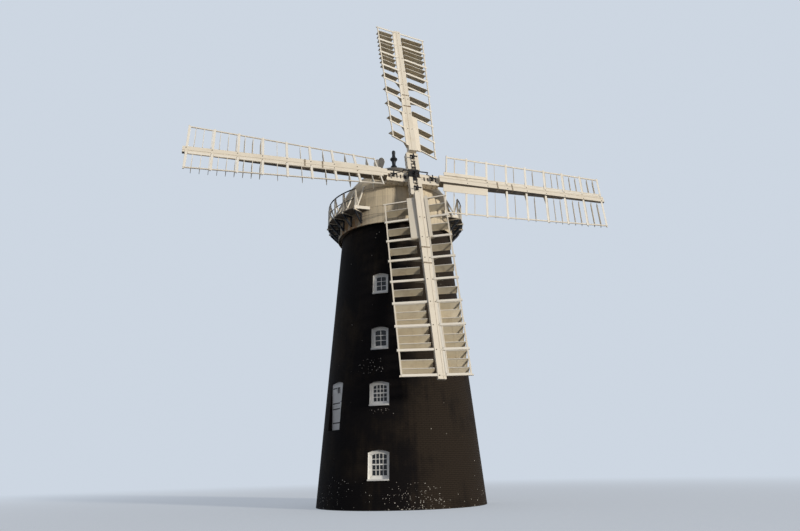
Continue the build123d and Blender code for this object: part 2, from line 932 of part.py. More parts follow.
def make_bar(sail, index):
    """One sail bar, deep at its root as far as the stock backs the whip."""
    root = bar_root_depth if index < braced_bars else bar_tip_depth
    tip = bar_tip_depth / 2
    trail = -trailing_width - bar_past
    lead = leading_width + bar_past
    plane = surface_plane(sail, heel_radius + index * bay_length).offset(-bar_width / 2)
    with BuildPart() as bar:
        with BuildSketch(plane):
            with BuildLine():
                Polyline(
                    (trail, tip), (lead, tip), (lead, -tip), (lead * bar_root_share, -tip),
                    (whip_tip_width / 2, tip - root), (-whip_tip_width / 2, tip - root),
                    (trail * bar_root_share, -tip), (trail, -tip), close=True,
                )
            make_face()
        extrude(amount=bar_width)
    return bar.part


def make_hem(sail, index, offset, width):
    """One bay of a lath that runs along the sail at an offset in its surface."""
    with BuildPart() as hem:
        for end in (index, index + 1):
            with BuildSketch(surface_plane(sail, heel_radius + end * bay_length)):
                with Locations((offset, 0)):
                    Rectangle(width, hem_depth)
        loft()
    return hem.part


def make_boards(sail, edges):
    """A board in front of the inner bays, between two edges in the sail's surface."""
    radii = [board_start] + [heel_radius + bar * bay_length for bar in range(board_bays + 1)]
    height = bar_tip_depth / 2 + board_thickness / 2 + fit_gap
    with BuildPart() as board:
        for radius in radii:
            with BuildSketch(surface_plane(sail, radius)):
                with Locations((sum(edges) / 2, height)):
                    Rectangle(edges[1] - edges[0], board_thickness)
        loft(ruled=True)
    return board.part


def make_shutter(sail, side, bay, place, angle):
    """One shutter, open to an angle, with its front edge on the hub's side."""
    radius = heel_radius + bay * bay_length + (place + shutter_place) * shutter_pitch
    turn = radians(twist_at(radius))
    if side > 0:
        inner = uplong_offset + uplong_width / 2 + shutter_end_gap
        outer = leading_width - hem_width / 2 - shutter_end_gap
    else:
        flank = taper(whip_width, whip_tip_width, radius) / 2 + shutter_inner_gap
        inner = (flank + (shutter_depth - shutter_front) * sin(turn)) / cos(turn)
        outer = trailing_width - hem_width / 2 - shutter_end_gap
    if bay < board_bays:
        board_edge = lead_board[1] if side > 0 else -heel_board[0]
        inner = max(inner, board_edge + shutter_end_gap)
    plane = tipped(surface_plane(sail, radius), -angle)
    with BuildPart() as shutter:
        with BuildSketch(plane.offset(-shutter_thick / 2)):
            with Locations((side * (inner + outer) / 2, shutter_front - shutter_depth / 2)):
                Rectangle(outer - inner, shutter_depth)
        extrude(amount=shutter_thick)
    return shutter.part


def shutter_places(name):
    """Side, bay, place in the bay and angle of each shutter of a sail."""
    for side in (-1, 1):
        for bay in range(bay_count):
            full = bay >= bay_count - full_bays
            for place in range(shutters_per_bay) if full else [1]:
                missing = name == "bottom" and side < 0 and bay == bay_count - 1 and place == 0
                loose = name == "bottom" and side > 0 and bay == bay_count - full_bays and place == 1
                if not missing:
                    yield side, bay, place, loose_tilt if loose else shutter_tilts[name][full]


# Whips, frames, boards and shutters of the four sails
sails = {name: sail_plane(sail_angles[name]).offset(sail_forward[name]) for name in sail_angles}
whip_of = {name: make_whip(sails[name]) for name in sails}
board_pieces = []
for name, sail in sails.items():
    stock = stocks["stock_vertical" if sail_forward[name] else "stock_horizontal"]
    with BuildPart() as lattice:
        for index in range(bay_count + 1):
            add(make_bar(sail, index))
        for index in range(bay_count):
            add(make_hem(sail, index, -trailing_width, hem_width))
            add(make_hem(sail, index, leading_width, hem_width))
            add(make_hem(sail, index, uplong_offset, uplong_width))
        add(whip_of[name], mode=Mode.SUBTRACT)
        add(stock, mode=Mode.SUBTRACT)
    save(main_pieces(lattice.part, 2), f"sail_frame_{name}")

    shutters = [make_shutter(sail, *place) for place in shutter_places(name)]
    save(gathered(shutters), f"shutters_{name}")

    with BuildPart() as boards:
        add(make_boards(sail, heel_board))
        add(make_boards(sail, lead_board))
        add(whip_of[name], mode=Mode.SUBTRACT)
        add(lattice.part, mode=Mode.SUBTRACT)
    board_pieces.append(main_pieces(boards.part, 2))

save(gathered(whip_of.values()), "whips")
save(gathered(board_pieces), "heel_boards")

# Iron bands over the face and the sides of each whip
def make_band(sail, radius):
    """A block round the whip at a radius, which the whip itself is cut from."""
    share = (radius - whip_start) / (arm_length + whip_past - whip_start)
    depth = whip_depth + (whip_tip_depth - whip_depth) * share + band_thick
    width = whip_width + (whip_tip_width - whip_width) * share + 2 * band_thick
    origin = sail.origin + sail.x_dir * radius + sail.z_dir * (whip_back + depth / 2)
    with BuildPart() as band:
        with BuildSketch(Plane(origin=origin, x_dir=sail.y_dir, z_dir=sail.x_dir).offset(-band_length / 2)):
            Rectangle(width, depth)
        extrude(amount=band_length)
    return band.part


band_radii = [heel_radius + bar * bay_length for bar in band_bars]
save(
    gathered([
        main_pieces(make_band(sail, radius) - whip_of[name], 1)
        for name, sail in sails.items() for radius in band_radii
    ]),
    "whip_bands",
)

# Striking gear: rod from the shaft, spider with a knuckle at each end
spider_z = poll_front + spider_front
with BuildPart() as spider:
    with BuildSketch(rotor_plane.offset(poll_front + fit_gap)):
        Circle(spider_bar)
    extrude(amount=spider_front + spider_bar)
    for angle in sail_angles.values():
        sail = sail_plane(angle)
        middle = sail.origin + sail.x_dir * spider_reach / 2 + sail.z_dir * spider_z
        with Locations(Plane(origin=middle, x_dir=sail.x_dir, z_dir=sail.z_dir)):
            Box(spider_reach, spider_bar, spider_bar)
        end = sail.origin + sail.x_dir * spider_reach + sail.z_dir * (spider_z - spider_knuckle / 2)
        with Locations(Plane(origin=end, x_dir=sail.x_dir, z_dir=sail.z_dir)):
            Box(spider_bar, spider_bar, spider_knuckle + spider_bar)
save(spider.part, "striking_spider")

# Bell cranks on the stocks: a base, a cross of levers and the link to the spider's knuckle
with BuildPart() as cranks:
    for name, angle in sail_angles.items():
        sail = sail_plane(angle)
        seat = sail_forward[name] + whip_back - fit_gap
        foot = sail.origin + sail.x_dir * crank_radius
        middle = foot + sail.z_dir * (seat + fit_gap + crank_height / 2)
        with Locations(Plane(origin=middle, x_dir=sail.x_dir, z_dir=sail.z_dir)):
            Box(crank_base, crank_base, crank_height)
        top = foot + sail.z_dir * (seat + crank_height)
        with Locations(Plane(origin=top, x_dir=sail.x_dir, z_dir=sail.z_dir)):
            Box(crank_length, crank_bar, crank_bar)
            Box(crank_bar, crank_width, crank_bar)
        knuckle = sail.origin + sail.x_dir * spider_reach + sail.z_dir * (spider_z - spider_knuckle)
        add(strut(top, knuckle, link_size))
    add(spider.part, mode=Mode.SUBTRACT)
save(main_pieces(cranks.part, len(sail_angles)), "bell_cranks")

# Fantail: axle, hub and blades
fan_plane = Plane(origin=(0, fan_y, fan_z), x_dir=(0, 1, 0), z_dir=(1, 0, 0))
with BuildPart() as fan_hub:
    with BuildSketch(fan_plane.offset(-fan_hub_length / 2)):
        Circle(fan_hub_radius)
    extrude(amount=fan_hub_length)
    axle_reach = fan_post_offset + fan_post_size
    with BuildSketch(fan_plane.offset(-axle_reach)):
        Circle(axle_radius)
    extrude(amount=2 * axle_reach)
save(fan_hub.part, "fan_hub")

with BuildPart() as blades:
    for index in range(fan_blade_count):
        spoke = turned(fan_plane, index * 360 / fan_blade_count)
        arm = turned(Plane(origin=spoke.origin, x_dir=spoke.y_dir, z_dir=spoke.x_dir), fan_pitch)
        with BuildSketch(arm.offset(fan_hub_radius + fit_gap)):
            Rectangle(fan_spoke, fan_spoke)
        extrude(amount=fan_spoke_end - fan_hub_radius - fit_gap)
        face = Plane(origin=arm.origin, x_dir=arm.z_dir, z_dir=arm.y_dir)
        with BuildSketch(face.offset(-blade_thick / 2)):
            with BuildLine():
                half = blade_wide_width / 2
                root = blade_root_width / 2
                Polyline((blade_wide, half), (blade_root, root), (blade_root, -root), (blade_wide, -half))
                ThreePointArc((blade_wide, -half), (fan_radius, 0), (blade_wide, half))
            make_face()
        extrude(amount=blade_thick)
save(blades.part, "fan_blades")

# Frame that carries the fantail on the tails of the sheers: two posts and the rail between them
with BuildPart() as fan_frame:
    for side in (-1, 1):
        foot = Vector(side * sheer_offset, fan_y, sheer_top - fan_post_size / 2)
        head = Vector(side * (fan_post_offset + fan_post_size / 2), fan_y, fan_z + fan_post_past)
        leg = head - foot
        with BuildSketch(Plane(origin=foot, x_dir=(0, 1, 0), z_dir=leg)):
            Rectangle(fan_post_size, fan_post_size)
        extrude(amount=leg.length)
    rise = Vector(0, 0, (fan_z - sheer_top) * brace_share)
    reach = sheer_offset + (fan_post_offset - sheer_offset) * brace_share
    level = Vector(0, fan_y, sheer_top) + rise
    add(strut(level - Vector(reach, 0, 0), level + Vector(reach, 0, 0), brace_size))
    with BuildSketch(fan_plane.offset(-fan_post_offset * 2)):
        Circle(axle_radius + fit_gap)
    extrude(amount=fan_post_offset * 4, mode=Mode.SUBTRACT)
    add(cap_frame.part, mode=Mode.SUBTRACT)
save(fan_frame.part, "fan_frame")
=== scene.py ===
"""Looks of a tower windmill: finishes for its solid pieces, and the small pieces that they carry.

Metres, +Z up. The origin is the centre of the tower's foot, on the ground, and the windshaft
points towards -Y at rest. A bearing is an angle round the tower in degrees, from -Y towards +X.
"""

import json
from math import asin, atan, cos, degrees, pi, radians, sin, sqrt

import bmesh
import bpy
from mathutils import Matrix, Vector


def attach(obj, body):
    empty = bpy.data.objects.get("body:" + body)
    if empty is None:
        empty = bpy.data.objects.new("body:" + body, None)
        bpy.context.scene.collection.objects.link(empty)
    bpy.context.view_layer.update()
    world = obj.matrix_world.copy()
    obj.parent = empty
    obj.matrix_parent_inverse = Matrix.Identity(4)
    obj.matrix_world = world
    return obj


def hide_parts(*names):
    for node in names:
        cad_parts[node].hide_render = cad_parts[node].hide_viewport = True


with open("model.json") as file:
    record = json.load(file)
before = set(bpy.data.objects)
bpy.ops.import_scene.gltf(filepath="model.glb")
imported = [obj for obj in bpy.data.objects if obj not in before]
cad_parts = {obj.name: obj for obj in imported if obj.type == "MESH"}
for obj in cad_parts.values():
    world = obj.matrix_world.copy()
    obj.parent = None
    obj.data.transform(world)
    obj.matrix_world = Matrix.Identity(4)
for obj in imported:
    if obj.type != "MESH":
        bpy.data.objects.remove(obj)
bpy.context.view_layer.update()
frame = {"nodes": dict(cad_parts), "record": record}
nodes = frame["nodes"]

# Camera, as the photograph was taken
photo_width = 800
camera_distance = 29.791
camera_bearing = -16.705
camera_height = 1.586
camera_pitch = 18.051
camera_yaw = 0.375
camera_roll = -1.42
focal_pixels = 620.9
sensor_width = 36

# Tower
base_radius = 3.81
wall_batter = 0.088
brick_length = 0.225
brick_course = 0.075
brick_joint = 0.009
arch_brick_height = 0.215

# Windows: sill height, width, height, panes across and panes high for each storey
window_bearing = -31
windows = {
    "ground": (1.12, 0.90, 1.18, 4, 4),
    "first": (4.08, 0.86, 1.02, 4, 4),
    "second": (6.48, 0.76, 1.02, 2, 3),
    "third": (9.05, 0.71, 0.97, 2, 3),
}
head_rise = 0.11
reveal_depth = 0.11
casing_width = 0.055
casing_depth = 0.09
sill_thick = 0.06
bead_width = 0.036
sash_width = 0.05
bar_width = 0.026
rail_width = 0.05

# Doors
loading_bearing = -72
loading_sill = 3.2
loading_width = 0.98
loading_height = 2.07
loading_split = 1.04
loading_straps = [0.32, 0.92, 1.16, 1.82]
entrance_bearing = 89
entrance_sill = 0.15
entrance_width = 1.0
entrance_height = 2.15
entrance_straps = [0.33, 1.75]
door_rise = 0.07
door_recess = 0.055
door_frame_width = 0.06
door_gap = 0.006
leaf_rise = 0.063
light_width = 0.24
light_height = 0.26
light_shift = 0.085
light_below_head = 0.16
board_width = 0.121
board_face = 0.004
strap_face = 0.008
strap_bolts = (0.06, 0.3, 0.52, 0.68)
loading_handles = (loading_split - 0.16, loading_split + 0.17)
entrance_handle = 1.02

# Cap: its gallery has a post, a bracket and a stay at each of its stations
cap_boards = 76
seam_width = 0.012
skirt_radius = 2.9
skirt_foot = 12.52
skirt_top = 13.38
course_heights = (12.98, 14.4)
bracket_bolt_heights = (12.68, 12.78, 13.08)
gallery_level = 13.29
gallery_radius = 3.45
post_radius = 3.3925
stay_foot = 3.3
stay_head = (2.635, 14.72)
station_count = 21
first_station = 50
station_turn = 13

# Sails
hub_point = Vector((0, -3.15, 14.741))
shaft_tilt = 15
ahead = Vector((0, -cos(radians(shaft_tilt)), sin(radians(shaft_tilt))))
sail_side = ahead.cross(Vector((1, 0, 0)))
sail_turn = -0.6
sail_angles = {"right": 0, "top": 90, "left": 180, "bottom": 270}
sail_forward = {"right": 0, "left": 0, "top": 0.33, "bottom": 0.33}
arm_length = 10.265
heel_radius = 1.66
bay_count = 8
full_bays = 3
bay_length = (arm_length - heel_radius) / bay_count
trailing_width = 1.57
leading_width = 1.165
twist_heel = 24
twist_tip = 7.4
whip_start = 1.3
whip_end = arm_length + 0.15
whip_width = 0.4
whip_tip_width = 0.34
whip_depth = 0.23
whip_tip_depth = 0.13
stock_middle = -0.2553
stock_width = 0.3
stock_tip_width = 0.16
stock_end = 8.11
clamp_offset = 0.2
clamp_width = 0.19
clamp_bolt_places = (0.4, 0.7, 1.0, 1.22)
stock_plates = [(0.3, 0.44, 0.15), (0.56, 0.62, 0.148), (0.74, 0.8, 0.146), (1.12, 1.2, 0.14)]
hem_width = 0.06
uplong_offset = 0.265
uplong_width = 0.045
bar_past = 0.085
bar_front = 0.0225
facing_hub = 0.075
board_bays = 2
heel_board = (-0.55, -0.2)
lead_board = (0.255, 0.405)
band_bars = [2.5, 3.25]
band_thick = 0.012
poll_size = 0.48
poll_front = 0.25

# Shutters: angle to the shaft's direction of the inner and of the outer bays on each sail. The
# solids that these shutters stand for turn about the same lines, but are open at other angles.
shutters_per_bay = 3
shutter_depth = 0.375
shutter_front = 0.03
shutter_place = 0.175
shutter_gap = 0.004
flank_gap = 0.03
cover_half = 0.006
lath_half = 0.0105
lath_width = 0.03
edge_half = 0.0125
shutter_tilts = {"right": (25, 29), "top": (15, 16), "left": (-8, 3), "bottom": (21, 33)}
loose_tilt = 50

# Fan
fan_y = 3.52
fan_z = 17.3
fan_blades = 8


class Socket:
    """A node's output. Arithmetic on it adds Math nodes, and node() adds any other node."""

    def __init__(self, tree, link):
        self.tree = tree
        self.link = link

    def node(self, kind, settings, inputs, output=0):
        """Add a node: its settings first, then the values or links of its inputs."""
        made = self.tree.nodes.new("ShaderNode" + kind)
        for name, value in settings.items():
            if name != "stops":
                setattr(made, name, value)
        if "stops" in settings:
            elements = made.color_ramp.elements
            while len(elements) < len(settings["stops"]):
                elements.new(1)
            for element, (position, colour) in zip(elements, settings["stops"]):
                element.position = position
                element.color = colour
        for key, value in inputs.items():
            if isinstance(value, Socket):
                self.tree.links.new(value.link, made.inputs[key])
            else:
                made.inputs[key].default_value = value
        return Socket(self.tree, made.outputs[output])

    def math(self, operation, first, second=0.0):
        return self.node("Math", {"operation": operation}, {0: first, 1: second})

    def __add__(self, other):
        return self.math("ADD", self, other)

    def __sub__(self, other):
        return self.math("SUBTRACT", self, other)

    def __rsub__(self, other):
        return self.math("SUBTRACT", other, self)

    def __mul__(self, other):
        return self.math("MULTIPLY", self, other)

    def __truediv__(self, other):
        return self.math("DIVIDE", self, other)

    def __lt__(self, other):
        return self.math("LESS_THAN", self, other)

    def __gt__(self, other):
        return self.math("GREATER_THAN", self, other)

    __radd__ = __add__
    __rmul__ = __mul__


# Words for the nodes that the finishes share
def paint(red, green, blue):
    return (red, green, blue, 1)


def noise(place, scale, detail=2.0, roughness=0.5):
    inputs = {"Vector": place, "Scale": scale, "Detail": detail, "Roughness": roughness}
    return place.node("TexNoise", {}, inputs)


def step(value, low, high):
    """0 below low and 1 above high, with a smooth change between; low may be the larger."""
    inputs = {"Value": value, "From Min": low, "From Max": high}
    return value.node("MapRange", {"interpolation_type": "SMOOTHSTEP"}, inputs)


def blend(share, first, second):
    """A colour between two colours."""
    return share.node("Mix", {"data_type": "RGBA"}, {0: share, 6: first, 7: second}, 2)


def stretch(place, across, along, up):
    return place.node("VectorMath", {"operation": "MULTIPLY"}, {0: place, 1: (across, along, up)})


def parts_of(place):
    return [place.node("SeparateXYZ", {}, {0: place}, axis) for axis in range(3)]


def join(first, second, third):
    return first.node("CombineXYZ", {}, {0: first, 1: second, 2: third})


def begin(name):
    """A new material and the place on the piece that its patterns read."""
    material = bpy.data.materials.new(name)
    material.use_nodes = True
    tree = material.node_tree
    tree.nodes.clear()
    return material, Socket(tree, tree.nodes.new("ShaderNodeTexCoord").outputs["Object"])


def complete(material, place, colour, roughness, height, depth, **constants):
    """Close a material: its colour, its roughness, and a bump of a depth in metres."""
    bump = place.node("Bump", {}, {"Height": height, "Distance": depth})
    inputs = {"Base Color": colour, "Roughness": roughness, "Normal": bump, **constants}
    shader = place.node("BsdfPrincipled", {}, inputs)
    output = place.tree.nodes.new("ShaderNodeOutputMaterial")
    place.tree.links.new(shader.link, output.inputs["Surface"])
    return material


def bearing_of(place):
    """Angle round the tower in radians, from -Y towards +X."""
    x, y, z = parts_of(place)
    return place.math("ARCTAN2", x, 0 - y), z


def away(value, middle):
    """How far a value is from a middle value."""
    return value.math("ABSOLUTE", value - middle)


def near(value, middle, reach):
    """1 close to a middle value, and 0 further from it than a reach."""
    return step(away(value, middle), reach, reach * 0.4)


def courses_of(vector, tones, joint, smooth, width, height):
    """Joints and tones of bricks, boards or tiles that lie in courses."""
    low, high = tones
    inputs = {
        "Vector": vector,
        "Color1": paint(low, low, low),
        "Color2": paint(high, high, high),
        "Mortar": paint(0, 0, 0),
        "Scale": 1.0,
        "Mortar Size": joint,
        "Mortar Smooth": smooth,
        "Brick Width": width,
        "Row Height": height,
    }
    joints = vector.node("TexBrick", {}, inputs, 1)
    return joints, parts_of(vector.node("TexBrick", {}, inputs, 0))[0]


# Finishes
def tarred_brick():
    """Black tar over brick courses, rubbed brown in places and painted browner where sunlight falls
    on the side towards the lamp, with pale flakes near the ground.
    """
    material, place = begin("tarred_brick")
    turn, height = bearing_of(place)
    course = place.math("FLOOR", height / brick_course)
    radius = base_radius - course * (brick_course * wall_batter)
    wall = join(turn * radius, height, 0.0)
    joint, tone = courses_of(wall, (0.45, 0.55), brick_joint, 0.35, brick_length, brick_course)

    broad = noise(place, 0.5, 4.0, 0.6)
    streaks = noise(stretch(place, 4.0, 4.0, 0.3), 1.0, 4.0, 0.6)
    grain = noise(place, 38.0, 3.0, 0.6)
    # Painted sunlight: the tar is browner on the side towards the lamp, where the sun fell on it;
    # the rest of the brown is rubbed tar.
    painted_sunlight = near(turn, radians(45), radians(75))
    rubbed_and_sunlit = step(broad * 0.74 + streaks * 0.26 + painted_sunlight * 0.2, 0.47, 0.7)
    tar = blend(rubbed_and_sunlit, paint(0.0058, 0.005, 0.0056), paint(0.029, 0.0215, 0.0155))
    tar = blend(step(grain, 0.35, 0.8) * 0.25, tar, paint(0.032, 0.025, 0.02))
    tar = blend(joint * 0.5, tar, paint(0.005, 0.0045, 0.0045))

    cell_inputs = {"Vector": place, "Scale": 17.0, "Randomness": 1.0}
    spot = place.node("TexVoronoi", {}, cell_inputs, 0)
    chance = place.node("TexVoronoi", {}, cell_inputs, 1)
    lot = parts_of(chance)
    patches = step(noise(place, 1.3, 3.0), 0.48, 0.68)
    low_band = step(height, 1.35, 0.2) * (0.03 + patches * 0.24)
    thick_turn = near(turn, radians(-8), radians(24)) * step(height, 1.15, 0.4) * 0.36
    left_turn = near(turn, radians(-60), radians(16)) * near(height, 0.95, 0.4) * 0.16
    under_second = near(turn, radians(-37), radians(13)) * near(height, 5.8, 0.45) * 0.34
    under_first = near(turn, radians(-31), radians(11)) * near(height, 3.88, 0.16) * 0.36
    chances = low_band + thick_turn + left_turn + under_second + under_first + 0.002
    edge = 0.16 + noise(place, 60.0, 2.0) * 0.34 + lot[1] * 0.14 - 0.1
    flake = (lot[0] < chances) * (spot < edge)
    pale = blend(lot[2], paint(0.12, 0.1, 0.085), paint(0.66, 0.62, 0.56))
    colour = blend(flake, tar, pale)

    roughness = 0.7 + step(grain, 0.3, 0.8) * 0.15 + flake * 0.1
    relief = (1 - joint) * 0.7 + tone * 0.25 + grain * 0.22 - flake * 0.25
    shine = {"Specular IOR Level": 0.05}
    return complete(material, place, colour, roughness, relief, 0.006, **shine)


def painted_underside_shade(place, width, tip_width, reach):
    """1 on the undersides of the two level arms, which shrink from the hub to their tips: where
    painted shade goes.
    """
    x, y, z = parts_of(place)
    rise = (y - hub_point.y) * sail_side.y + (z - hub_point.z) * sail_side.z
    turn = radians(sail_turn)
    along = place.math("ABSOLUTE", x * cos(turn) + rise * sin(turn))
    down = x * sin(turn) - rise * cos(turn)
    edge = width / 2 - along * ((width - tip_width) / 2 / reach)
    return step(down - edge, -0.012, -0.004) * step(along, 0.9, 1.0)


def painted_wood(name, fresh, aged, along=(1, 1, 1), roughness=0.5, stain=0.35, arm=None):
    """Paint on timber: faint grain that shows through, soft dirt, weathered spots and rust, and,
    when an arm is given, painted shade on the undersides of the level arms.
    """
    material, place = begin(name)
    grain = noise(stretch(place, *along), 26.0, 5.0, 0.65)
    dirt = step(noise(place, 1.7, 4.0, 0.6), 0.5, 0.78)
    spots = step(noise(place, 21.0, 3.0, 0.7), 0.66, 0.74)
    runs = step(noise(stretch(place, *along), 4.5, 4.0, 0.7), 0.63, 0.76)
    share = dirt * 0.4 + step(grain, 0.45, 0.8) * 0.3
    colour = blend(share, fresh, aged)
    colour = blend(runs * stain, colour, paint(0.40, 0.26, 0.14))
    colour = blend(spots * 0.5, colour, paint(0.24, 0.19, 0.14))
    if arm:
        # Painted shade: the undersides of the level arms are darkened, as they lie in shadow.
        colour = blend(painted_underside_shade(place, *arm) * 0.85, colour, paint(0.085, 0.06, 0.04))
    relief = grain * 0.6 + noise(place, 90.0) * 0.25 - spots * 0.5
    return complete(material, place, colour, roughness + share * 0.25, relief, 0.0025)


def shutter_finish():
    """Cream paint over light shutters, with streaks, soft dirt and rubbed places."""
    material, place = begin("shutter_cloth")
    weave = noise(place, 160.0, 2.0)
    grain = noise(stretch(place, 1.4, 1.4, 1.4), 18.0, 5.0, 0.7)
    dirt = step(noise(place, 2.6, 4.0, 0.6), 0.42, 0.75)
    light = noise(place, 0.8, 2.0)
    colour = blend(step(light, 0.4, 0.65), paint(0.74, 0.64, 0.46), paint(0.82, 0.73, 0.56))
    colour = blend(dirt * 0.45 + step(grain, 0.5, 0.85) * 0.25, colour, paint(0.52, 0.41, 0.28))
    return complete(material, place, colour, 0.6 + dirt * 0.2, grain + weave * 0.4, 0.003)


def cap_finish():
    """Beige boards that run up the cap, each of its own tone, with rust stains low on one side."""
    material, place = begin("cap_boards")
    turn, height = bearing_of(place)
    run = turn * (cap_boards / (2 * pi))
    board = place.math("FLOOR", run)
    sheet = place.math("FLOOR", run / 2)
    across = away(place.math("FRACT", run), 0.5)
    board_wide = 2 * pi * skirt_radius / cap_boards
    seam = step(across, 0.5 - seam_width / board_wide, 0.5)
    tone = place.node("TexWhiteNoise", {"noise_dimensions": "1D"}, {"W": board})
    broad_tone = place.node("TexWhiteNoise", {"noise_dimensions": "1D"}, {"W": sheet + 91.0})
    grain = noise(stretch(place, 1.0, 1.0, 0.12), 20.0, 4.0, 0.65)
    patch = step(noise(place, 0.9, 4.0, 0.6), 0.4, 0.7)
    share = tone * 0.3 + broad_tone * 0.5
    colour = blend(share, paint(0.64, 0.545, 0.395), paint(0.74, 0.64, 0.48))
    colour = blend(patch * 0.45, colour, paint(0.46, 0.40, 0.31))
    side = near(turn, radians(-66), radians(26)) * step(height, 13.6, 12.75)
    runs = step(noise(stretch(place, 2.2, 2.2, 0.9), 1.5, 4.0, 0.65), 0.38, 0.56)
    rust = side * runs
    colour = blend(rust * 0.85, colour, paint(0.36, 0.185, 0.07))
    courses = near(height, course_heights[0], 0.018) + near(height, course_heights[1], 0.018)
    streaks = noise(stretch(place, 6.0, 6.0, 0.4), 2.0, 4.0)
    drips = step(height, 13.36, 13.1) * step(streaks, 0.5, 0.7)
    soot = step(noise(place, 2.2, 5.0, 0.7), 0.55, 0.75) * 0.5
    colour = blend(soot * 0.4 + drips * 0.35, colour, paint(0.2, 0.17, 0.13))
    crown = step(height + noise(place, 1.6, 4.0, 0.6) * 0.9, 15.7, 16.1)
    colour = blend(crown * 0.85, colour, paint(0.075, 0.065, 0.055))
    colour = blend(seam * 0.32 + courses * 0.6, colour, paint(0.1, 0.085, 0.07))
    relief = (1 - seam) + grain * 0.2 - courses * 0.6
    shine = {"Specular IOR Level": 0.15}
    return complete(material, place, colour, 0.6 + patch * 0.2, relief, 0.006, **shine)


def iron_finish(name, dark, rusty, rust_share):
    """Dark paint over iron, with a little rust where it has worn through."""
    material, place = begin(name)
    cast = noise(place, 45.0, 4.0, 0.6)
    rust = step(noise(place, 6.0, 5.0, 0.7), 0.5, 0.68) * rust_share
    colour = blend(rust, dark, rusty)
    shine = {"Metallic": 0.25, "Specular IOR Level": 0.3}
    return complete(material, place, colour, 0.42 + rust * 0.4 + cast * 0.15, cast, 0.0012, **shine)


def glass_finish():
    """Old window glass, slightly uneven, dark because the rooms behind it are."""
    material, place = begin("window_pane")
    wave = noise(place, 7.0, 1.0)
    smear = step(noise(place, 5.0, 4.0, 0.6), 0.5, 0.8)
    colour = blend(smear, paint(0.010, 0.012, 0.016), paint(0.03, 0.035, 0.045))
    return complete(material, place, colour, 0.05 + smear * 0.12, wave, 0.004, IOR=1.4)


def timber_finish(name, light, dark, along):
    """Bare structural timber with long grain."""
    material, place = begin(name)
    rings = noise(stretch(place, *along), 9.0, 5.0, 0.65)
    broad = noise(place, 1.1, 3.0)
    colour = blend(step(rings, 0.35, 0.7), light, dark)
    colour = blend(step(broad, 0.4, 0.75) * 0.4, colour, dark)
    return complete(material, place, colour, 0.7 + rings * 0.15, rings, 0.004)


def floor_boards():
    """Wide floor boards side by side, with open joints."""
    material, place = begin("floor_boards")
    joint, tone = courses_of(place, (0.2, 0.8), 0.004, 0.2, 3.2, 0.22)
    grain = noise(stretch(place, 0.12, 1.0, 1.0), 30.0, 4.0, 0.6)
    colour = blend(tone * 0.5 + grain * 0.5, paint(0.36, 0.27, 0.18), paint(0.2, 0.14, 0.09))
    colour = blend(joint, colour, paint(0.03, 0.02, 0.015))
    return complete(material, place, colour, 0.65 + grain * 0.2, grain * 0.3 - joint, 0.003)


def paved_floor():
    """Square paving tiles on the ground floor."""
    material, place = begin("paved_floor")
    joint, tone = courses_of(place, (0.3, 0.7), 0.008, 0.3, 0.3, 0.3)
    grit = noise(place, 60.0, 4.0, 0.6)
    colour = blend(tone * 0.6 + grit * 0.4, paint(0.30, 0.2, 0.15), paint(0.38, 0.29, 0.23))
    colour = blend(joint, colour, paint(0.12, 0.11, 0.1))
    return complete(material, place, colour, 0.7 + grit * 0.2, grit * 0.3 - joint, 0.004)


warm_white = paint(0.77, 0.70, 0.585)
aged_white = paint(0.60, 0.51, 0.38)
finishes = {
    "tarred_brick": tarred_brick(),
    "masonry_floor": paved_floor(),
    "oak_floor": floor_boards(),
    "white_joinery": painted_wood(
        "white_joinery", paint(0.80, 0.79, 0.765), paint(0.6, 0.57, 0.51), stain=0.12
    ),
    "white_timber": painted_wood("white_timber", warm_white, aged_white),
    "bar_paint": painted_wood("bar_paint", paint(0.82, 0.77, 0.68), aged_white),
    # Whips and the level stock: white paint, with painted shade on the undersides of the level
    # arms.
    "whip_paint_and_shade": painted_wood(
        "whip_paint_and_shade", warm_white, aged_white, arm=(whip_width + 0.008, whip_tip_width, whip_end)
    ),
    "stock_paint_and_shade": painted_wood(
        "stock_paint_and_shade", warm_white, aged_white, (0.1, 1, 1),
        arm=(stock_width, stock_tip_width, stock_end),
    ),
    "sail_across": painted_wood("sail_across", warm_white, aged_white, (0.1, 1, 1)),
    "sail_upright": painted_wood("sail_upright", warm_white, aged_white, (1, 1, 0.1)),
    "shutter_edge": painted_wood("shutter_edge", paint(0.80, 0.75, 0.66), aged_white, stain=0.2),
    "shutter_cloth": shutter_finish(),
    "cap_boards": cap_finish(),
    "black_iron": iron_finish(
        "black_iron", paint(0.022, 0.022, 0.025), paint(0.09, 0.048, 0.028), 0.5
    ),
    "rusty_iron": iron_finish(
        "rusty_iron", paint(0.05, 0.038, 0.03), paint(0.16, 0.075, 0.035), 0.8
    ),
    "worn_iron": iron_finish(
        "worn_iron", paint(0.42, 0.35, 0.26), paint(0.17, 0.08, 0.04), 0.9
    ),
    "dark_metal": iron_finish(
        "dark_metal", paint(0.02, 0.022, 0.027), paint(0.05, 0.045, 0.04), 0.3
    ),
    "structure_timber": timber_finish(
        "structure_timber", paint(0.30, 0.21, 0.13), paint(0.17, 0.11, 0.065), (1, 0.15, 1)
    ),
    # A darker copy of the bare timber for the gallery's deck: painted shade for a deck that stood
    # in shadow.
    "deck_timber_shaded": timber_finish(
        "deck_timber_shaded", paint(0.2, 0.165, 0.125), paint(0.09, 0.07, 0.055), (1, 0.15, 1)
    ),
    "glass": glass_finish(),
}
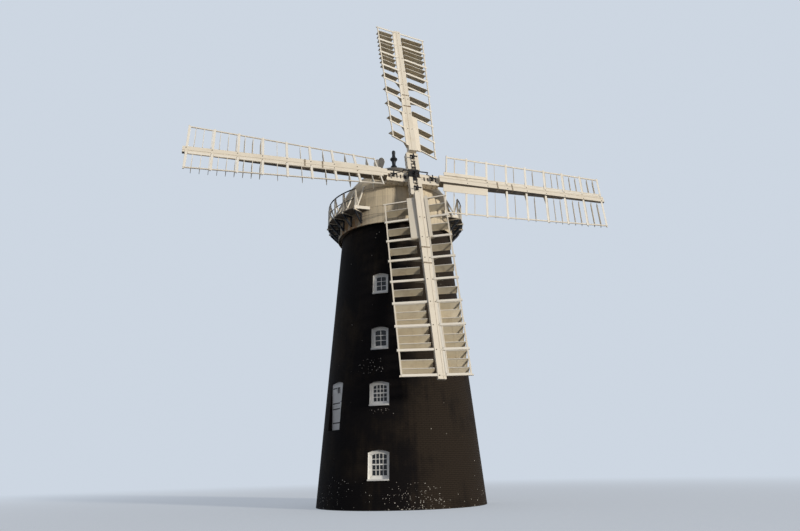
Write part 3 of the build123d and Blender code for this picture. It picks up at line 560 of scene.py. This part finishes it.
special_finish = {
    "whips": "whip_paint_and_shade",
    "stock_horizontal": "stock_paint_and_shade",
    "stock_vertical": "sail_upright",
    "sail_frame_left": "sail_across",
    "sail_frame_right": "sail_across",
    "sail_frame_top": "sail_upright",
    "sail_frame_bottom": "sail_upright",
    "whip_bands": "worn_iron",
    "crown_plate": "dark_metal",
    "gallery_floor": "deck_timber_shaded",
    "gallery_railing": "dark_metal",
}
slot_of = {row["node"]: row["material_slot"] for row in frame["record"]["subparts"]}
for name, solid in nodes.items():
    solid.data.materials.clear()
    solid.data.materials.append(finishes[special_finish.get(name, slot_of[name])])


# Making of the added pieces
def place_at(origin, across, out):
    """Frame at a point: x across, z out of the surface, y square to both."""
    up = out.cross(across)
    return Matrix.Translation(origin) @ Matrix((across, up, out)).transposed().to_4x4()


def facing(bearing, distance, height):
    """Frame square to a radius, seen from outside: x to the right, y up, z outwards."""
    turn = radians(bearing)
    out = Vector((sin(turn), -cos(turn), 0))
    spot = out * distance + Vector((0, 0, height))
    return place_at(spot, Vector((cos(turn), sin(turn), 0)), out)


def add_bar(bm, place, low, high, edge=0.0):
    """A straight bar that fills the box between two corners, in the frame of a place."""
    size = [b - a for a, b in zip(low, high)]
    middle = Vector([(a + b) / 2 for a, b in zip(low, high)])
    matrix = place @ Matrix.Translation(middle) @ Matrix.Diagonal((*size, 1))
    made = bmesh.ops.create_cube(bm, size=1, matrix=matrix)["verts"]
    if edge:
        edges = {line for vert in made for line in vert.link_edges}
        bmesh.ops.bevel(
            bm, geom=list(edges), offset=edge, affect="EDGES", segments=1, profile=0.5, material=-1
        )
    return made


def add_round(bm, place, wide, narrow, low, high, sides):
    """A round or many-sided stud along the z axis of a place, between two heights."""
    middle = place @ Matrix.Translation((0, 0, (low + high) / 2))
    bmesh.ops.create_cone(
        bm, cap_ends=True, segments=sides, radius1=wide, radius2=narrow, depth=high - low,
        matrix=middle,
    )


def add_bolt(bm, place, size, washer=1.7):
    """A bolt with a six-sided head on its washer; size is the radius of the head."""
    add_round(bm, place, size * washer, size * washer * 0.94, -0.004, size * 0.25, 12)
    add_round(bm, place, size, size * 0.92, 0.0, size * 0.95, 6)
    add_round(bm, place, size * 0.5, size * 0.42, 0.0, size * 1.35, 8)


def finish_piece(bm, name, body, finish, stands_for=()):
    """Write a mesh, and make it ride on a body, or stand for a solid, with a finish."""
    bmesh.ops.recalc_face_normals(bm, faces=bm.faces)
    mesh = bpy.data.meshes.new(name)
    bm.to_mesh(mesh)
    bm.free()
    mesh.materials.append(finishes[finish])
    piece = bpy.data.objects.new(name, mesh)
    bpy.context.scene.collection.objects.link(piece)
    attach(piece, body)
    for node in stands_for:
        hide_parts(node)
    return piece


def wall_radius(height):
    return base_radius - wall_batter * height


def add_arch(bm, place, half, foot, rise, width, low, high, pieces=12):
    """A shallow arched band of short bars; foot is the height where its outer edge springs."""
    radius = (half * half + rise * rise) / (2 * rise)
    reach = asin(half / radius)
    centre = foot + rise - radius
    for index in range(pieces):
        angle = reach * (2 * (index + 0.5) / pieces - 1)
        spot = place @ Matrix.Translation((0, centre, 0)) @ Matrix.Rotation(-angle, 4, "Z")
        step_half = radius * reach / pieces + 0.002
        add_bar(bm, spot, (-step_half, radius - width, low), (step_half, radius, high))


def add_linings(bm, place, half, foot, spring, deep):
    """Thin white boards on both sides of a recess, cut to the slope of the wall."""
    for side in (-1, 1):
        low, wide = sorted((side * half, side * (half - 0.006)))
        verts = add_bar(bm, place, (low, foot, 0), (wide, spring, deep))
        upper = [v for v in verts if (place.inverted() @ v.co).y > spring - 0.01]
        outer = [v for v in upper if (place.inverted() @ v.co).z > deep - 0.01]
        drop = place.to_3x3() @ Vector((0, 0, -wall_batter * (spring - foot)))
        bmesh.ops.translate(bm, vec=drop, verts=outer)


# Windows: painted reveals, sashes and glazing bars
def each_window():
    """Frame on each window's casing, with the sizes of the opening and of its panes."""
    for sill, width, height, across, high in windows.values():
        face = wall_radius(sill + height) - reveal_depth
        for bearing in (window_bearing, window_bearing + 180):
            yield facing(bearing, face, sill), face, sill, width, height, across, high


def window_reveals():
    """White paint on the sides and the head of each window's recess."""
    bm = bmesh.new()
    for place, face, sill, width, height, *_ in each_window():
        half = width / 2 - 0.001
        rise = head_rise * width
        inset = wall_radius(sill) - sqrt(wall_radius(sill) ** 2 - half ** 2)
        spring = height - rise
        foot = sill_thick + 0.001
        deep = wall_radius(sill + foot) - inset - face - 0.004
        add_linings(bm, place, half, foot, spring, deep)
        top = wall_radius(sill + height) - inset - face
        add_arch(bm, place, half, spring, rise, 0.006, 0, top)
    return finish_piece(bm, "window_reveals", "tower", "white_joinery")


def add_sash(bm, place, half, foot, top, rise, width, low, high):
    """Two stiles, a bottom rail and an arched head, between two heights over the casing."""
    for side in (-1, 1):
        start, end = sorted((side * half, side * (half - width)))
        add_bar(bm, place, (start, foot, low), (end, top - rise, high), 0.002)
    add_bar(bm, place, (-half, foot, low), (half, foot + width, high), 0.002)
    add_arch(bm, place, half, top - rise, rise, width, low, high)


def window_bars():
    """Sashes and glazing bars of every window, in front of their glass."""
    bm = bmesh.new()
    for place, _, _, width, height, across, high in each_window():
        half = width / 2 - casing_width
        foot = sill_thick + casing_width
        top = height - casing_width
        rise = head_rise * half * 2
        back = -casing_depth / 2 + 0.001
        add_sash(bm, place, half, foot, top, rise, bead_width, back, -0.006)
        inner = half - bead_width
        add_sash(
            bm, place, inner + 0.004, foot + bead_width - 0.004, top - bead_width + 0.004,
            rise * 0.85, sash_width, back, -0.018,
        )
        clear = inner - sash_width
        low = foot + bead_width + sash_width
        tall = top - bead_width - sash_width - low
        for column in range(1, across):
            x = -clear + 2 * clear * column / across
            lift = -rise * 0.7 * (x / clear) ** 2 + 0.012
            corner = (x - bar_width / 2, low - 0.01, back)
            add_bar(bm, place, corner, (x + bar_width / 2, low + tall + lift, -0.024))
        for row in range(1, high):
            y = low + tall * row / high
            thick = rail_width if row * 2 == high else bar_width
            front = -0.016 if row * 2 == high else -0.025
            corner = (-clear - 0.01, y - thick / 2, back)
            add_bar(bm, place, corner, (clear + 0.01, y + thick / 2, front))
    return finish_piece(bm, "window_bars", "tower", "white_joinery")


def arch_bricks():
    """Tarred bricks on edge over each window and doorway, a little proud of the wall."""
    bm = bmesh.new()
    heads = [
        (bearing, sill + height, width, head_rise * width)
        for sill, width, height, *_ in windows.values()
        for bearing in (window_bearing, window_bearing + 180)
    ]
    heads.append((loading_bearing, loading_sill + loading_height, loading_width, door_rise))
    heads.append((entrance_bearing, entrance_sill + entrance_height, entrance_width, door_rise))
    for bearing, top, width, rise in heads:
        half = width / 2 + 0.03
        radius = (half * half + rise * rise) / (2 * rise)
        reach = asin(half / radius)
        count = round(2 * radius * reach / brick_course)
        for index in range(count):
            angle = reach * (2 * (index + 0.5) / count - 1)
            x = radius * sin(angle)
            y = top - radius + radius * cos(angle)
            surface = wall_radius(y + 0.11)
            spot = facing(bearing + degrees(asin(x / surface)), surface, y + 0.004)
            lean = Matrix.Rotation(-angle, 4, "Z") @ Matrix.Rotation(-atan(wall_batter), 4, "X")
            low = (-brick_course / 2 + 0.005, 0, -0.04)
            high = (brick_course / 2 - 0.005, arch_brick_height, 0.009)
            add_bar(bm, spot @ lean, low, high, 0.003)
    return finish_piece(bm, "arch_bricks", "tower", "tarred_brick")


# Doors: boards, bolts and furniture
def add_boards(bm, place, half, low, high, rise, gap=None):
    """Upright boards over a leaf; gap is the left, low, right and high edge of a light."""
    count = round(2 * half / board_width)
    for index in range(count):
        start = -half + 2 * half * index / count + 0.0015
        end = -half + 2 * half * (index + 1) / count - 0.0015
        far = max(abs(start), abs(end))
        top = high - rise * (far / half) ** 2 - 0.002
        stretches = [(low, top)]
        if gap and end > gap[0] and start < gap[2]:
            stretches = [(low, gap[1]), (gap[3], top)]
        for foot, head in stretches:
            add_bar(bm, place, (start, foot, -0.002), (end, head, board_face), 0.0025)


def door_bolts(bm, place, width, heights):
    """Bolts through the strap hinges of a leaf."""
    for height in heights:
        for share in strap_bolts:
            spot = Matrix.Translation((-width / 2 + share * width, height, strap_face))
            add_bolt(bm, place @ spot, 0.009, 1.3)


def loading_door():
    """Boards of both leaves, frame and bar of the light, bolts and two handles."""
    face = wall_radius(loading_sill + loading_height) - door_recess - door_gap
    place = facing(loading_bearing, face, loading_sill)
    width = loading_width - 2 * door_frame_width - 2 * door_gap
    half = width / 2
    top = loading_height - door_frame_width - door_gap
    low = top - light_height - light_below_head
    left = light_shift - light_width / 2
    light = (left - 0.03, low - 0.03, left + light_width + 0.03, low + light_height + 0.03)
    bm = bmesh.new()
    add_boards(bm, place, half, 0.004, loading_split - 0.002, 0)
    add_boards(bm, place, half, loading_split + door_gap + 0.002, top, leaf_rise, light)
    right = left + light_width
    upper = low + light_height
    for start, foot, end, head in (
        (light[0], light[1], light[2], low),
        (light[0], upper, light[2], light[3]),
        (light[0], low, left, upper),
        (right, low, light[2], upper),
    ):
        add_bar(bm, place, (start, foot, -0.004), (end, head, board_face + 0.012), 0.002)
    middle = left + light_width / 2
    add_bar(bm, place, (middle - 0.01, low, -0.02), (middle + 0.01, upper, 0.004))
    finish_piece(bm, "loading_door_boards", "tower", "white_joinery")
    bm = bmesh.new()
    door_bolts(bm, place, width, loading_straps)
    for height in loading_handles:
        spot = place @ Matrix.Translation((half - 0.09, height, board_face))
        add_bar(bm, spot, (-0.02, -0.06, -0.002), (0.02, 0.06, 0.006), 0.002)
        add_round(bm, spot, 0.011, 0.011, 0.004, 0.03, 12)
        add_bar(bm, spot, (-0.055, -0.011, 0.026), (0.013, 0.011, 0.036), 0.003)
    finish_piece(bm, "loading_door_bolts", "tower", "black_iron")


def entrance_door():
    """Boards of the leaf, bolts, and a knob with its plate and keyhole."""
    face = wall_radius(entrance_sill + entrance_height) - door_recess - door_gap
    place = facing(entrance_bearing, face, entrance_sill)
    width = entrance_width - 2 * door_frame_width - 2 * door_gap
    half = width / 2
    bm = bmesh.new()
    top = entrance_height - door_frame_width - door_gap
    add_boards(bm, place, half, door_gap + 0.002, top, leaf_rise)
    finish_piece(bm, "entrance_door_boards", "tower", "white_joinery")
    bm = bmesh.new()
    door_bolts(bm, place, width, entrance_straps)
    spot = place @ Matrix.Translation((half - 0.09, entrance_handle, board_face))
    add_bar(bm, spot, (-0.026, -0.1, -0.002), (0.026, 0.08, 0.006), 0.002)
    add_round(bm, spot, 0.026, 0.03, 0.03, 0.058, 16)
    add_round(bm, spot, 0.011, 0.011, 0.004, 0.034, 12)
    add_round(bm, spot @ Matrix.Translation((0, -0.062, 0)), 0.008, 0.008, 0.0, 0.009, 12)
    finish_piece(bm, "entrance_door_bolts", "tower", "black_iron")


# Cap: mouldings, bolts on the brackets, and boards on the gallery
def add_hoop(bm, radius, low, high, thick):
    """A closed hoop round the axis with its inner face on a radius."""
    verts = [
        bmesh.ops.create_vert(bm, co=(0, -corner[0], corner[1]))["vert"][0]
        for corner in ((radius, low), (radius + thick, low), (radius + thick, high), (radius, high))
    ]
    edges = [bm.edges.new((verts[index], verts[(index + 1) % 4])) for index in range(4)]
    bmesh.ops.spin(
        bm, geom=verts + edges, cent=(0, 0, 0), axis=(0, 0, 1), angle=2 * pi, steps=144,
        use_merge=True,
    )
    bmesh.ops.remove_doubles(bm, verts=bm.verts, dist=0.0005)


def cap_mouldings():
    """Thin bands where the courses of the cap's boards meet, and a drip at their foot."""
    bm = bmesh.new()
    add_hoop(bm, skirt_radius, skirt_top - 0.02, skirt_top + 0.022, 0.012)
    add_hoop(bm, skirt_radius, skirt_foot, skirt_foot + 0.035, 0.014)
    return finish_piece(bm, "cap_mouldings", "cap", "cap_boards")


def bracket_bolts():
    """Bolts that hold the gallery's brackets to the skirt."""
    bm = bmesh.new()
    for index in range(station_count):
        bearing = first_station + station_turn * index
        for height in bracket_bolt_heights:
            for side in (-0.045, 0.045):
                place = facing(bearing, skirt_radius, height) @ Matrix.Translation((side, 0, 0))
                add_bolt(bm, place, 0.011, 1.5)
    return finish_piece(bm, "bracket_bolts", "cap", "dark_metal")


def add_strut(bm, start, end, across, width):
    """A straight square board between two points; across is the direction of one side."""
    along = (end - start).normalized()
    side = (across - along * across.dot(along)).normalized()
    place = place_at(start, side, along)
    half = width / 2
    add_bar(bm, place, (-half, -half, 0), (half, half, (end - start).length), 0.004)


def gallery_boards():
    """White posts outside the railing, with a brace inside each and a board over each stay."""
    bm = bmesh.new()
    for index in range(station_count):
        bearing = first_station + station_turn * index
        place = facing(bearing, 0, 0)
        out = place.to_3x3() @ Vector((0, 0, 1))
        across = place.to_3x3() @ Vector((1, 0, 0))
        floor = Vector((0, 0, gallery_level))
        foot = out * (post_radius + 0.001) + floor
        add_strut(bm, foot + Vector((0, 0, 0.002)), foot + Vector((0, 0, 0.93)), across, 0.085)
        top = out * (post_radius - 0.03) + floor + Vector((0, 0, 0.8))
        add_strut(bm, top, out * 3.13 + floor + Vector((0, 0, 0.01)), across, 0.055)
        start, end = out * stay_foot + floor, out * stay_head[0] + Vector((0, 0, stay_head[1]))
        along = (end - start).normalized()
        add_strut(bm, start + along * 0.04, end - along * 0.05, across, 0.062)
    front = -gallery_radius * cos(radians(first_station))
    for side in (-1, 1):
        low, high = sorted((side * 1.9, side * 2.66))
        corner = (low, front - 0.014, gallery_level - 0.05)
        far_corner = (high, front + 0.02, gallery_level + 0.105)
        add_bar(bm, Matrix.Identity(4), corner, far_corner, 0.004)
    return finish_piece(bm, "gallery_boards", "cap", "bar_paint")


# Sails
def sail_place(name):
    """Frame of one sail: x out along its arm, y to its leading side, z forward."""
    turn = radians(sail_turn + sail_angles[name])
    along = Vector((cos(turn), 0, 0)) + sail_side * sin(turn)
    origin = hub_point + ahead * sail_forward[name]
    return place_at(origin, along, ahead)


def twist_at(radius):
    """Angle between a sail's surface and its plane, in radians."""
    share = (radius - heel_radius) / (arm_length - heel_radius)
    return radians(twist_heel + (twist_tip - twist_heel) * share)


def surface_place(sail, radius):
    """Frame on a sail's twisted surface: x along the arm, y in the surface, z out of it."""
    return sail @ Matrix.Translation((radius, 0, 0)) @ Matrix.Rotation(twist_at(radius), 4, "X")


def whip_face(radius):
    """Height of the whip's front face over the sail's plane."""
    share = (radius - whip_start) / (whip_end - whip_start)
    return -whip_depth / 2 + whip_depth + (whip_tip_depth - whip_depth) * share


def whip_half(radius):
    """Half of the whip's width at a radius."""
    share = (radius - whip_start) / (whip_end - whip_start)
    return (whip_width + (whip_tip_width - whip_width) * share) / 2


def each_shutter(name):
    """Side, radius, inner end, outer end and open angle of each shutter of a sail."""
    pitch = bay_length / shutters_per_bay
    for side in (-1, 1):
        for bay in range(bay_count):
            full = bay >= bay_count - full_bays
            for spot in range(shutters_per_bay) if full else [1]:
                if name == "bottom" and side < 0 and bay == bay_count - 1 and spot == 0:
                    continue
                hanging = name == "bottom" and side > 0 and bay == bay_count - full_bays
                loose = hanging and spot == 1
                radius = heel_radius + bay * bay_length + (spot + shutter_place) * pitch
                turn = twist_at(radius)
                if side > 0:
                    inner = uplong_offset + uplong_width / 2
                    outer = leading_width - hem_width / 2
                else:
                    flank = whip_half(radius) + flank_gap
                    inner = (flank + (shutter_depth - shutter_front) * sin(turn)) / cos(turn)
                    outer = trailing_width - hem_width / 2
                if bay < board_bays:
                    inner = max(inner, lead_board[1] if side > 0 else -heel_board[0])
                angle = loose_tilt if loose else shutter_tilts[name][full]
                yield side, radius, inner + shutter_gap, outer - shutter_gap, radians(angle)


def shutter_frame(sail, radius, angle):
    """Frame of a shutter: x along it, y to its front edge, z out of its face."""
    lean = Matrix((
        (0, -sin(angle), cos(angle), 0), (1, 0, 0, 0), (0, cos(angle), sin(angle), 0), (0, 0, 0, 1),
    ))
    return surface_place(sail, radius) @ lean


def make_shutters(name):
    """Shutters of one sail: a thin covered board, with laths round both faces."""
    sail = sail_place(name)
    cover = bmesh.new()
    edges = bmesh.new()
    back = shutter_front - shutter_depth
    for side, radius, inner, outer, angle in each_shutter(name):
        place = shutter_frame(sail, radius, angle)
        low, high = sorted((side * inner, side * outer))
        add_bar(cover, place, (low, back, -cover_half), (high, shutter_front - 0.012, cover_half))
        for start in (low, (low + high) / 2 - lath_width / 2, high - lath_width):
            corner = (start, back + 0.004, -lath_half)
            add_bar(cover, place, corner, (start + lath_width, shutter_front - 0.02, lath_half))
        add_bar(cover, place, (low, back, -lath_half), (high, back + 0.032, lath_half))
        corner = (low, shutter_front - 0.034, -edge_half)
        add_bar(edges, place, corner, (high, shutter_front, edge_half), 0.003)
    stands_for = [f"shutters_{name}"]
    finish_piece(
        cover, f"shutter_covers_{name}", "sails", "shutter_cloth", stands_for
    )
    finish_piece(edges, f"shutter_edges_{name}", "sails", "shutter_edge")


def bar_facings():
    """White facing boards on the front of every sail bar, wider on the side of the hub."""
    bm = bmesh.new()
    for name in sail_angles:
        sail = sail_place(name)
        for index in range(bay_count + 1):
            radius = heel_radius + index * bay_length
            place = surface_place(sail, radius)
            edge = whip_half(radius) + 0.004
            trail = -heel_board[0] + 0.004 if index <= board_bays else edge
            lead = lead_board[1] + 0.004 if index <= board_bays else edge
            hub = facing_hub if index else 0.03
            past = bar_past if index < bay_count else 0.0
            for low, high in ((-trailing_width - past, -trail), (lead, leading_width + past)):
                corner = (-hub, low, bar_front + 0.0005)
                add_bar(bm, place, corner, (0.03, high, bar_front + 0.01), 0.003)
    return finish_piece(bm, "bar_facings", "sails", "bar_paint")


def whip_linings():
    """Narrow boards between the bars, in the gap on the leading side of each whip."""
    bm = bmesh.new()
    low = 0.045 - bay_length / 2
    high = bay_length / 2 - facing_hub - 0.015
    for name in sail_angles:
        sail = sail_place(name)
        for bay in range(bay_count):
            radius = heel_radius + (bay + 0.5) * bay_length
            place = surface_place(sail, radius)
            edge = uplong_offset - uplong_width / 2 - 0.002
            add_bar(bm, place, (low, whip_half(radius) - 0.02, -0.02), (high, edge, 0.014), 0.003)
    return finish_piece(bm, "whip_linings", "sails", "bar_paint")


def whip_bolts():
    """Bolts through the whips: at every bar, and four through each band."""
    bm = bmesh.new()
    lean = atan((whip_depth - whip_tip_depth) / (whip_end - whip_start))
    slope = Matrix.Rotation(lean, 4, "Y")
    for name in sail_angles:
        sail = sail_place(name)
        for index in range(1, bay_count + 1):
            radius = heel_radius + index * bay_length
            for across in (-0.1, 0.125):
                spot = Matrix.Translation((radius, across, whip_face(radius)))
                add_bolt(bm, sail @ spot @ slope, 0.016)
        for bar in band_bars:
            radius = heel_radius + bar * bay_length
            for across in (-0.15, -0.05, 0.05, 0.15):
                spot = Matrix.Translation((radius, across, whip_face(radius) + band_thick))
                add_bolt(bm, sail @ spot @ slope, 0.014, 1.3)
    return finish_piece(bm, "whip_bolts", "sails", "rusty_iron")


def stock_irons():
    """Plates and bolts on the front of the stocks, between the poll end and the whips."""
    bm = bmesh.new()
    front = -whip_depth / 2 + 0.0005
    for name in sail_angles:
        sail = sail_place(name)
        for start, end, half in stock_plates:
            add_bar(bm, sail, (start, -half, front - 0.004), (end, half, front + 0.012), 0.003)
            for across in (-0.1, 0.1):
                spot = sail @ Matrix.Translation(((start + end) / 2, across, front + 0.012))
                add_bolt(bm, spot, 0.02, 1.4)
    return finish_piece(bm, "stock_irons", "sails", "rusty_iron")


def clamp_bolts():
    """Painted plates and bolts on the outer sides of the clamps."""
    bm = bmesh.new()
    for name in sail_angles:
        for side in (-1, 1):
            flank = (clamp_offset + clamp_width / 2) * side
            turn = Matrix.Rotation(-pi / 2 * side, 4, "X")
            for radius in clamp_bolt_places:
                for height in (-0.08, 0.08):
                    place = Matrix.Translation((radius, flank, stock_middle + height))
                    spot = sail_place(name) @ place @ turn
                    add_bar(bm, spot, (-0.037, -0.037, -0.003), (0.037, 0.037, 0.008), 0.002)
                    add_bolt(bm, spot @ Matrix.Translation((0, 0, 0.008)), 0.018, 1.2)
    return finish_piece(bm, "clamp_bolts", "sails", "worn_iron")


def poll_irons():
    """Raised rim, ribs and bolts on the front of the poll end, and a plate along one side."""
    bm = bmesh.new()
    place = sail_place("right")
    half = poll_size / 2
    low = (-half + 0.05, -half - 0.2, poll_front - 0.16)
    high = (half - 0.05, -half + 0.01, poll_front - 0.02)
    add_bar(bm, place, low, high, 0.006)
    for turn in range(4):
        spot = place @ Matrix.Rotation(turn * pi / 2, 4, "Z")
        low = (half - 0.045, -half + 0.075, poll_front)
        high = (half - 0.008, half - 0.075, poll_front + 0.02)
        add_bar(bm, spot, low, high, 0.004)
        low = (0.05, -0.018, poll_front)
        high = (half - 0.05, 0.018, poll_front + 0.026)
        add_bar(bm, spot, low, high, 0.005)
        corner = spot @ Matrix.Translation((half - 0.11, half - 0.11, poll_front))
        add_bolt(bm, corner, 0.026, 1.5)
    add_round(bm, place, 0.085, 0.07, poll_front, poll_front + 0.04, 32)
    return finish_piece(bm, "poll_irons", "sails", "black_iron")


# Fan
def fan_irons():
    """Rings and bolts on the fan's hub."""
    bm = bmesh.new()
    axle = Matrix.Translation((0, fan_y, fan_z)) @ Matrix.Rotation(pi / 2, 4, "Y")
    for height in (-0.13, 0.118):
        add_round(bm, axle, 0.122, 0.122, height, height + 0.012, 40)
    blade_turn = 2 * pi / fan_blades
    for index in range(fan_blades):
        turn = axle @ Matrix.Rotation(index * blade_turn + blade_turn / 2, 4, "Z")
        for height, flip in ((-0.13, pi), (0.13, 0)):
            spot = turn @ Matrix.Translation((0.085, 0, height)) @ Matrix.Rotation(flip, 4, "X")
            add_bolt(bm, spot, 0.011, 1.3)
    return finish_piece(bm, "fan_irons", "fan", "black_iron")


window_reveals()
window_bars()
arch_bricks()
loading_door()
entrance_door()
cap_mouldings()
bracket_bolts()
gallery_boards()
for sail_name in sail_angles:
    make_shutters(sail_name)
bar_facings()
whip_linings()
whip_bolts()
stock_irons()
clamp_bolts()
poll_irons()
fan_irons()


# Camera
def make_camera():
    lens = bpy.data.cameras.new("camera")
    lens.sensor_width = sensor_width
    lens.lens = focal_pixels / photo_width * sensor_width
    lens.clip_end = 500
    camera = bpy.data.objects.new("camera", lens)
    turn = radians(camera_bearing)
    heading = radians(camera_bearing - camera_yaw)
    spot = Vector((sin(turn) * camera_distance, -cos(turn) * camera_distance, camera_height))
    aim = (
        Matrix.Rotation(heading, 4, "Z")
        @ Matrix.Rotation(radians(90 + camera_pitch), 4, "X")
        @ Matrix.Rotation(radians(camera_roll), 4, "Z")
    )
    camera.matrix_world = Matrix.Translation(spot) @ aim
    bpy.context.scene.collection.objects.link(camera)
    bpy.context.scene.camera = camera


# Light: a soft lamp from the front right, and an even surround
sun_bearing = 32
sun_elevation = 11
sun_strength = 2.7
sun_spread = 6
floor_radius = 400
surround_shade = paint(0.32, 0.345, 0.395)
backdrop_shade = paint(0.61, 0.675, 0.76)


def seen_by_camera(path):
    """1 for what the camera sees, also in a reflection or through glass."""
    glossy = Socket(path.tree, path.link.node.outputs["Is Glossy Ray"])
    passing = Socket(path.tree, path.link.node.outputs["Is Transmission Ray"])
    return path.math("MINIMUM", path + glossy + passing, 1.0)


def make_light():
    lamp = bpy.data.lights.new("key", "SUN")
    lamp.energy = sun_strength
    lamp.angle = radians(sun_spread)
    lamp.color = (1.0, 0.935, 0.82)
    key = bpy.data.objects.new("key", lamp)
    key.rotation_euler = (radians(90 - sun_elevation), 0, radians(sun_bearing))
    bpy.context.scene.collection.objects.link(key)

    world = bpy.data.worlds.new("surround")
    world.use_nodes = True
    bpy.context.scene.world = world
    tree = world.node_tree
    tree.nodes.clear()
    path = Socket(tree, tree.nodes.new("ShaderNodeLightPath").outputs["Is Camera Ray"])
    colour = blend(seen_by_camera(path), surround_shade, backdrop_shade)
    shade = path.node("Background", {}, {"Color": colour, "Strength": 1.0})
    output = tree.nodes.new("ShaderNodeOutputWorld")
    tree.links.new(shade.link, output.inputs["Surface"])


def make_floor():
    """A pale floor that keeps the shadow, and fades into the surround."""
    bm = bmesh.new()
    bmesh.ops.create_circle(bm, cap_ends=True, segments=96, radius=floor_radius)
    bmesh.ops.translate(bm, vec=(0, 0, -0.002), verts=bm.verts)
    mesh = bpy.data.meshes.new("floor")
    bm.to_mesh(mesh)
    bm.free()
    material, place = begin("pale_floor")
    x, y = parts_of(place)[:2]
    far = step(place.math("SQRT", x * x + y * y), 12.0, 55.0) * 0.6 + 0.4
    path = Socket(place.tree, place.tree.nodes.new("ShaderNodeLightPath").outputs["Is Camera Ray"])
    seen = seen_by_camera(path)
    colour = blend(seen, paint(0.09, 0.085, 0.08), paint(0.82, 0.84, 0.86))
    diffuse = place.node("BsdfDiffuse", {}, {"Color": colour})
    glow = place.node("Emission", {}, {"Color": backdrop_shade, "Strength": 1.0})
    shader = place.node("MixShader", {}, {0: far * seen, 1: diffuse, 2: glow})
    output = place.tree.nodes.new("ShaderNodeOutputMaterial")
    place.tree.links.new(shader.link, output.inputs["Surface"])
    mesh.materials.append(material)
    floor = bpy.data.objects.new("floor", mesh)
    bpy.context.scene.collection.objects.link(floor)


make_camera()
make_light()
make_floor()
bpy.context.scene.view_settings.view_transform = "Standard"
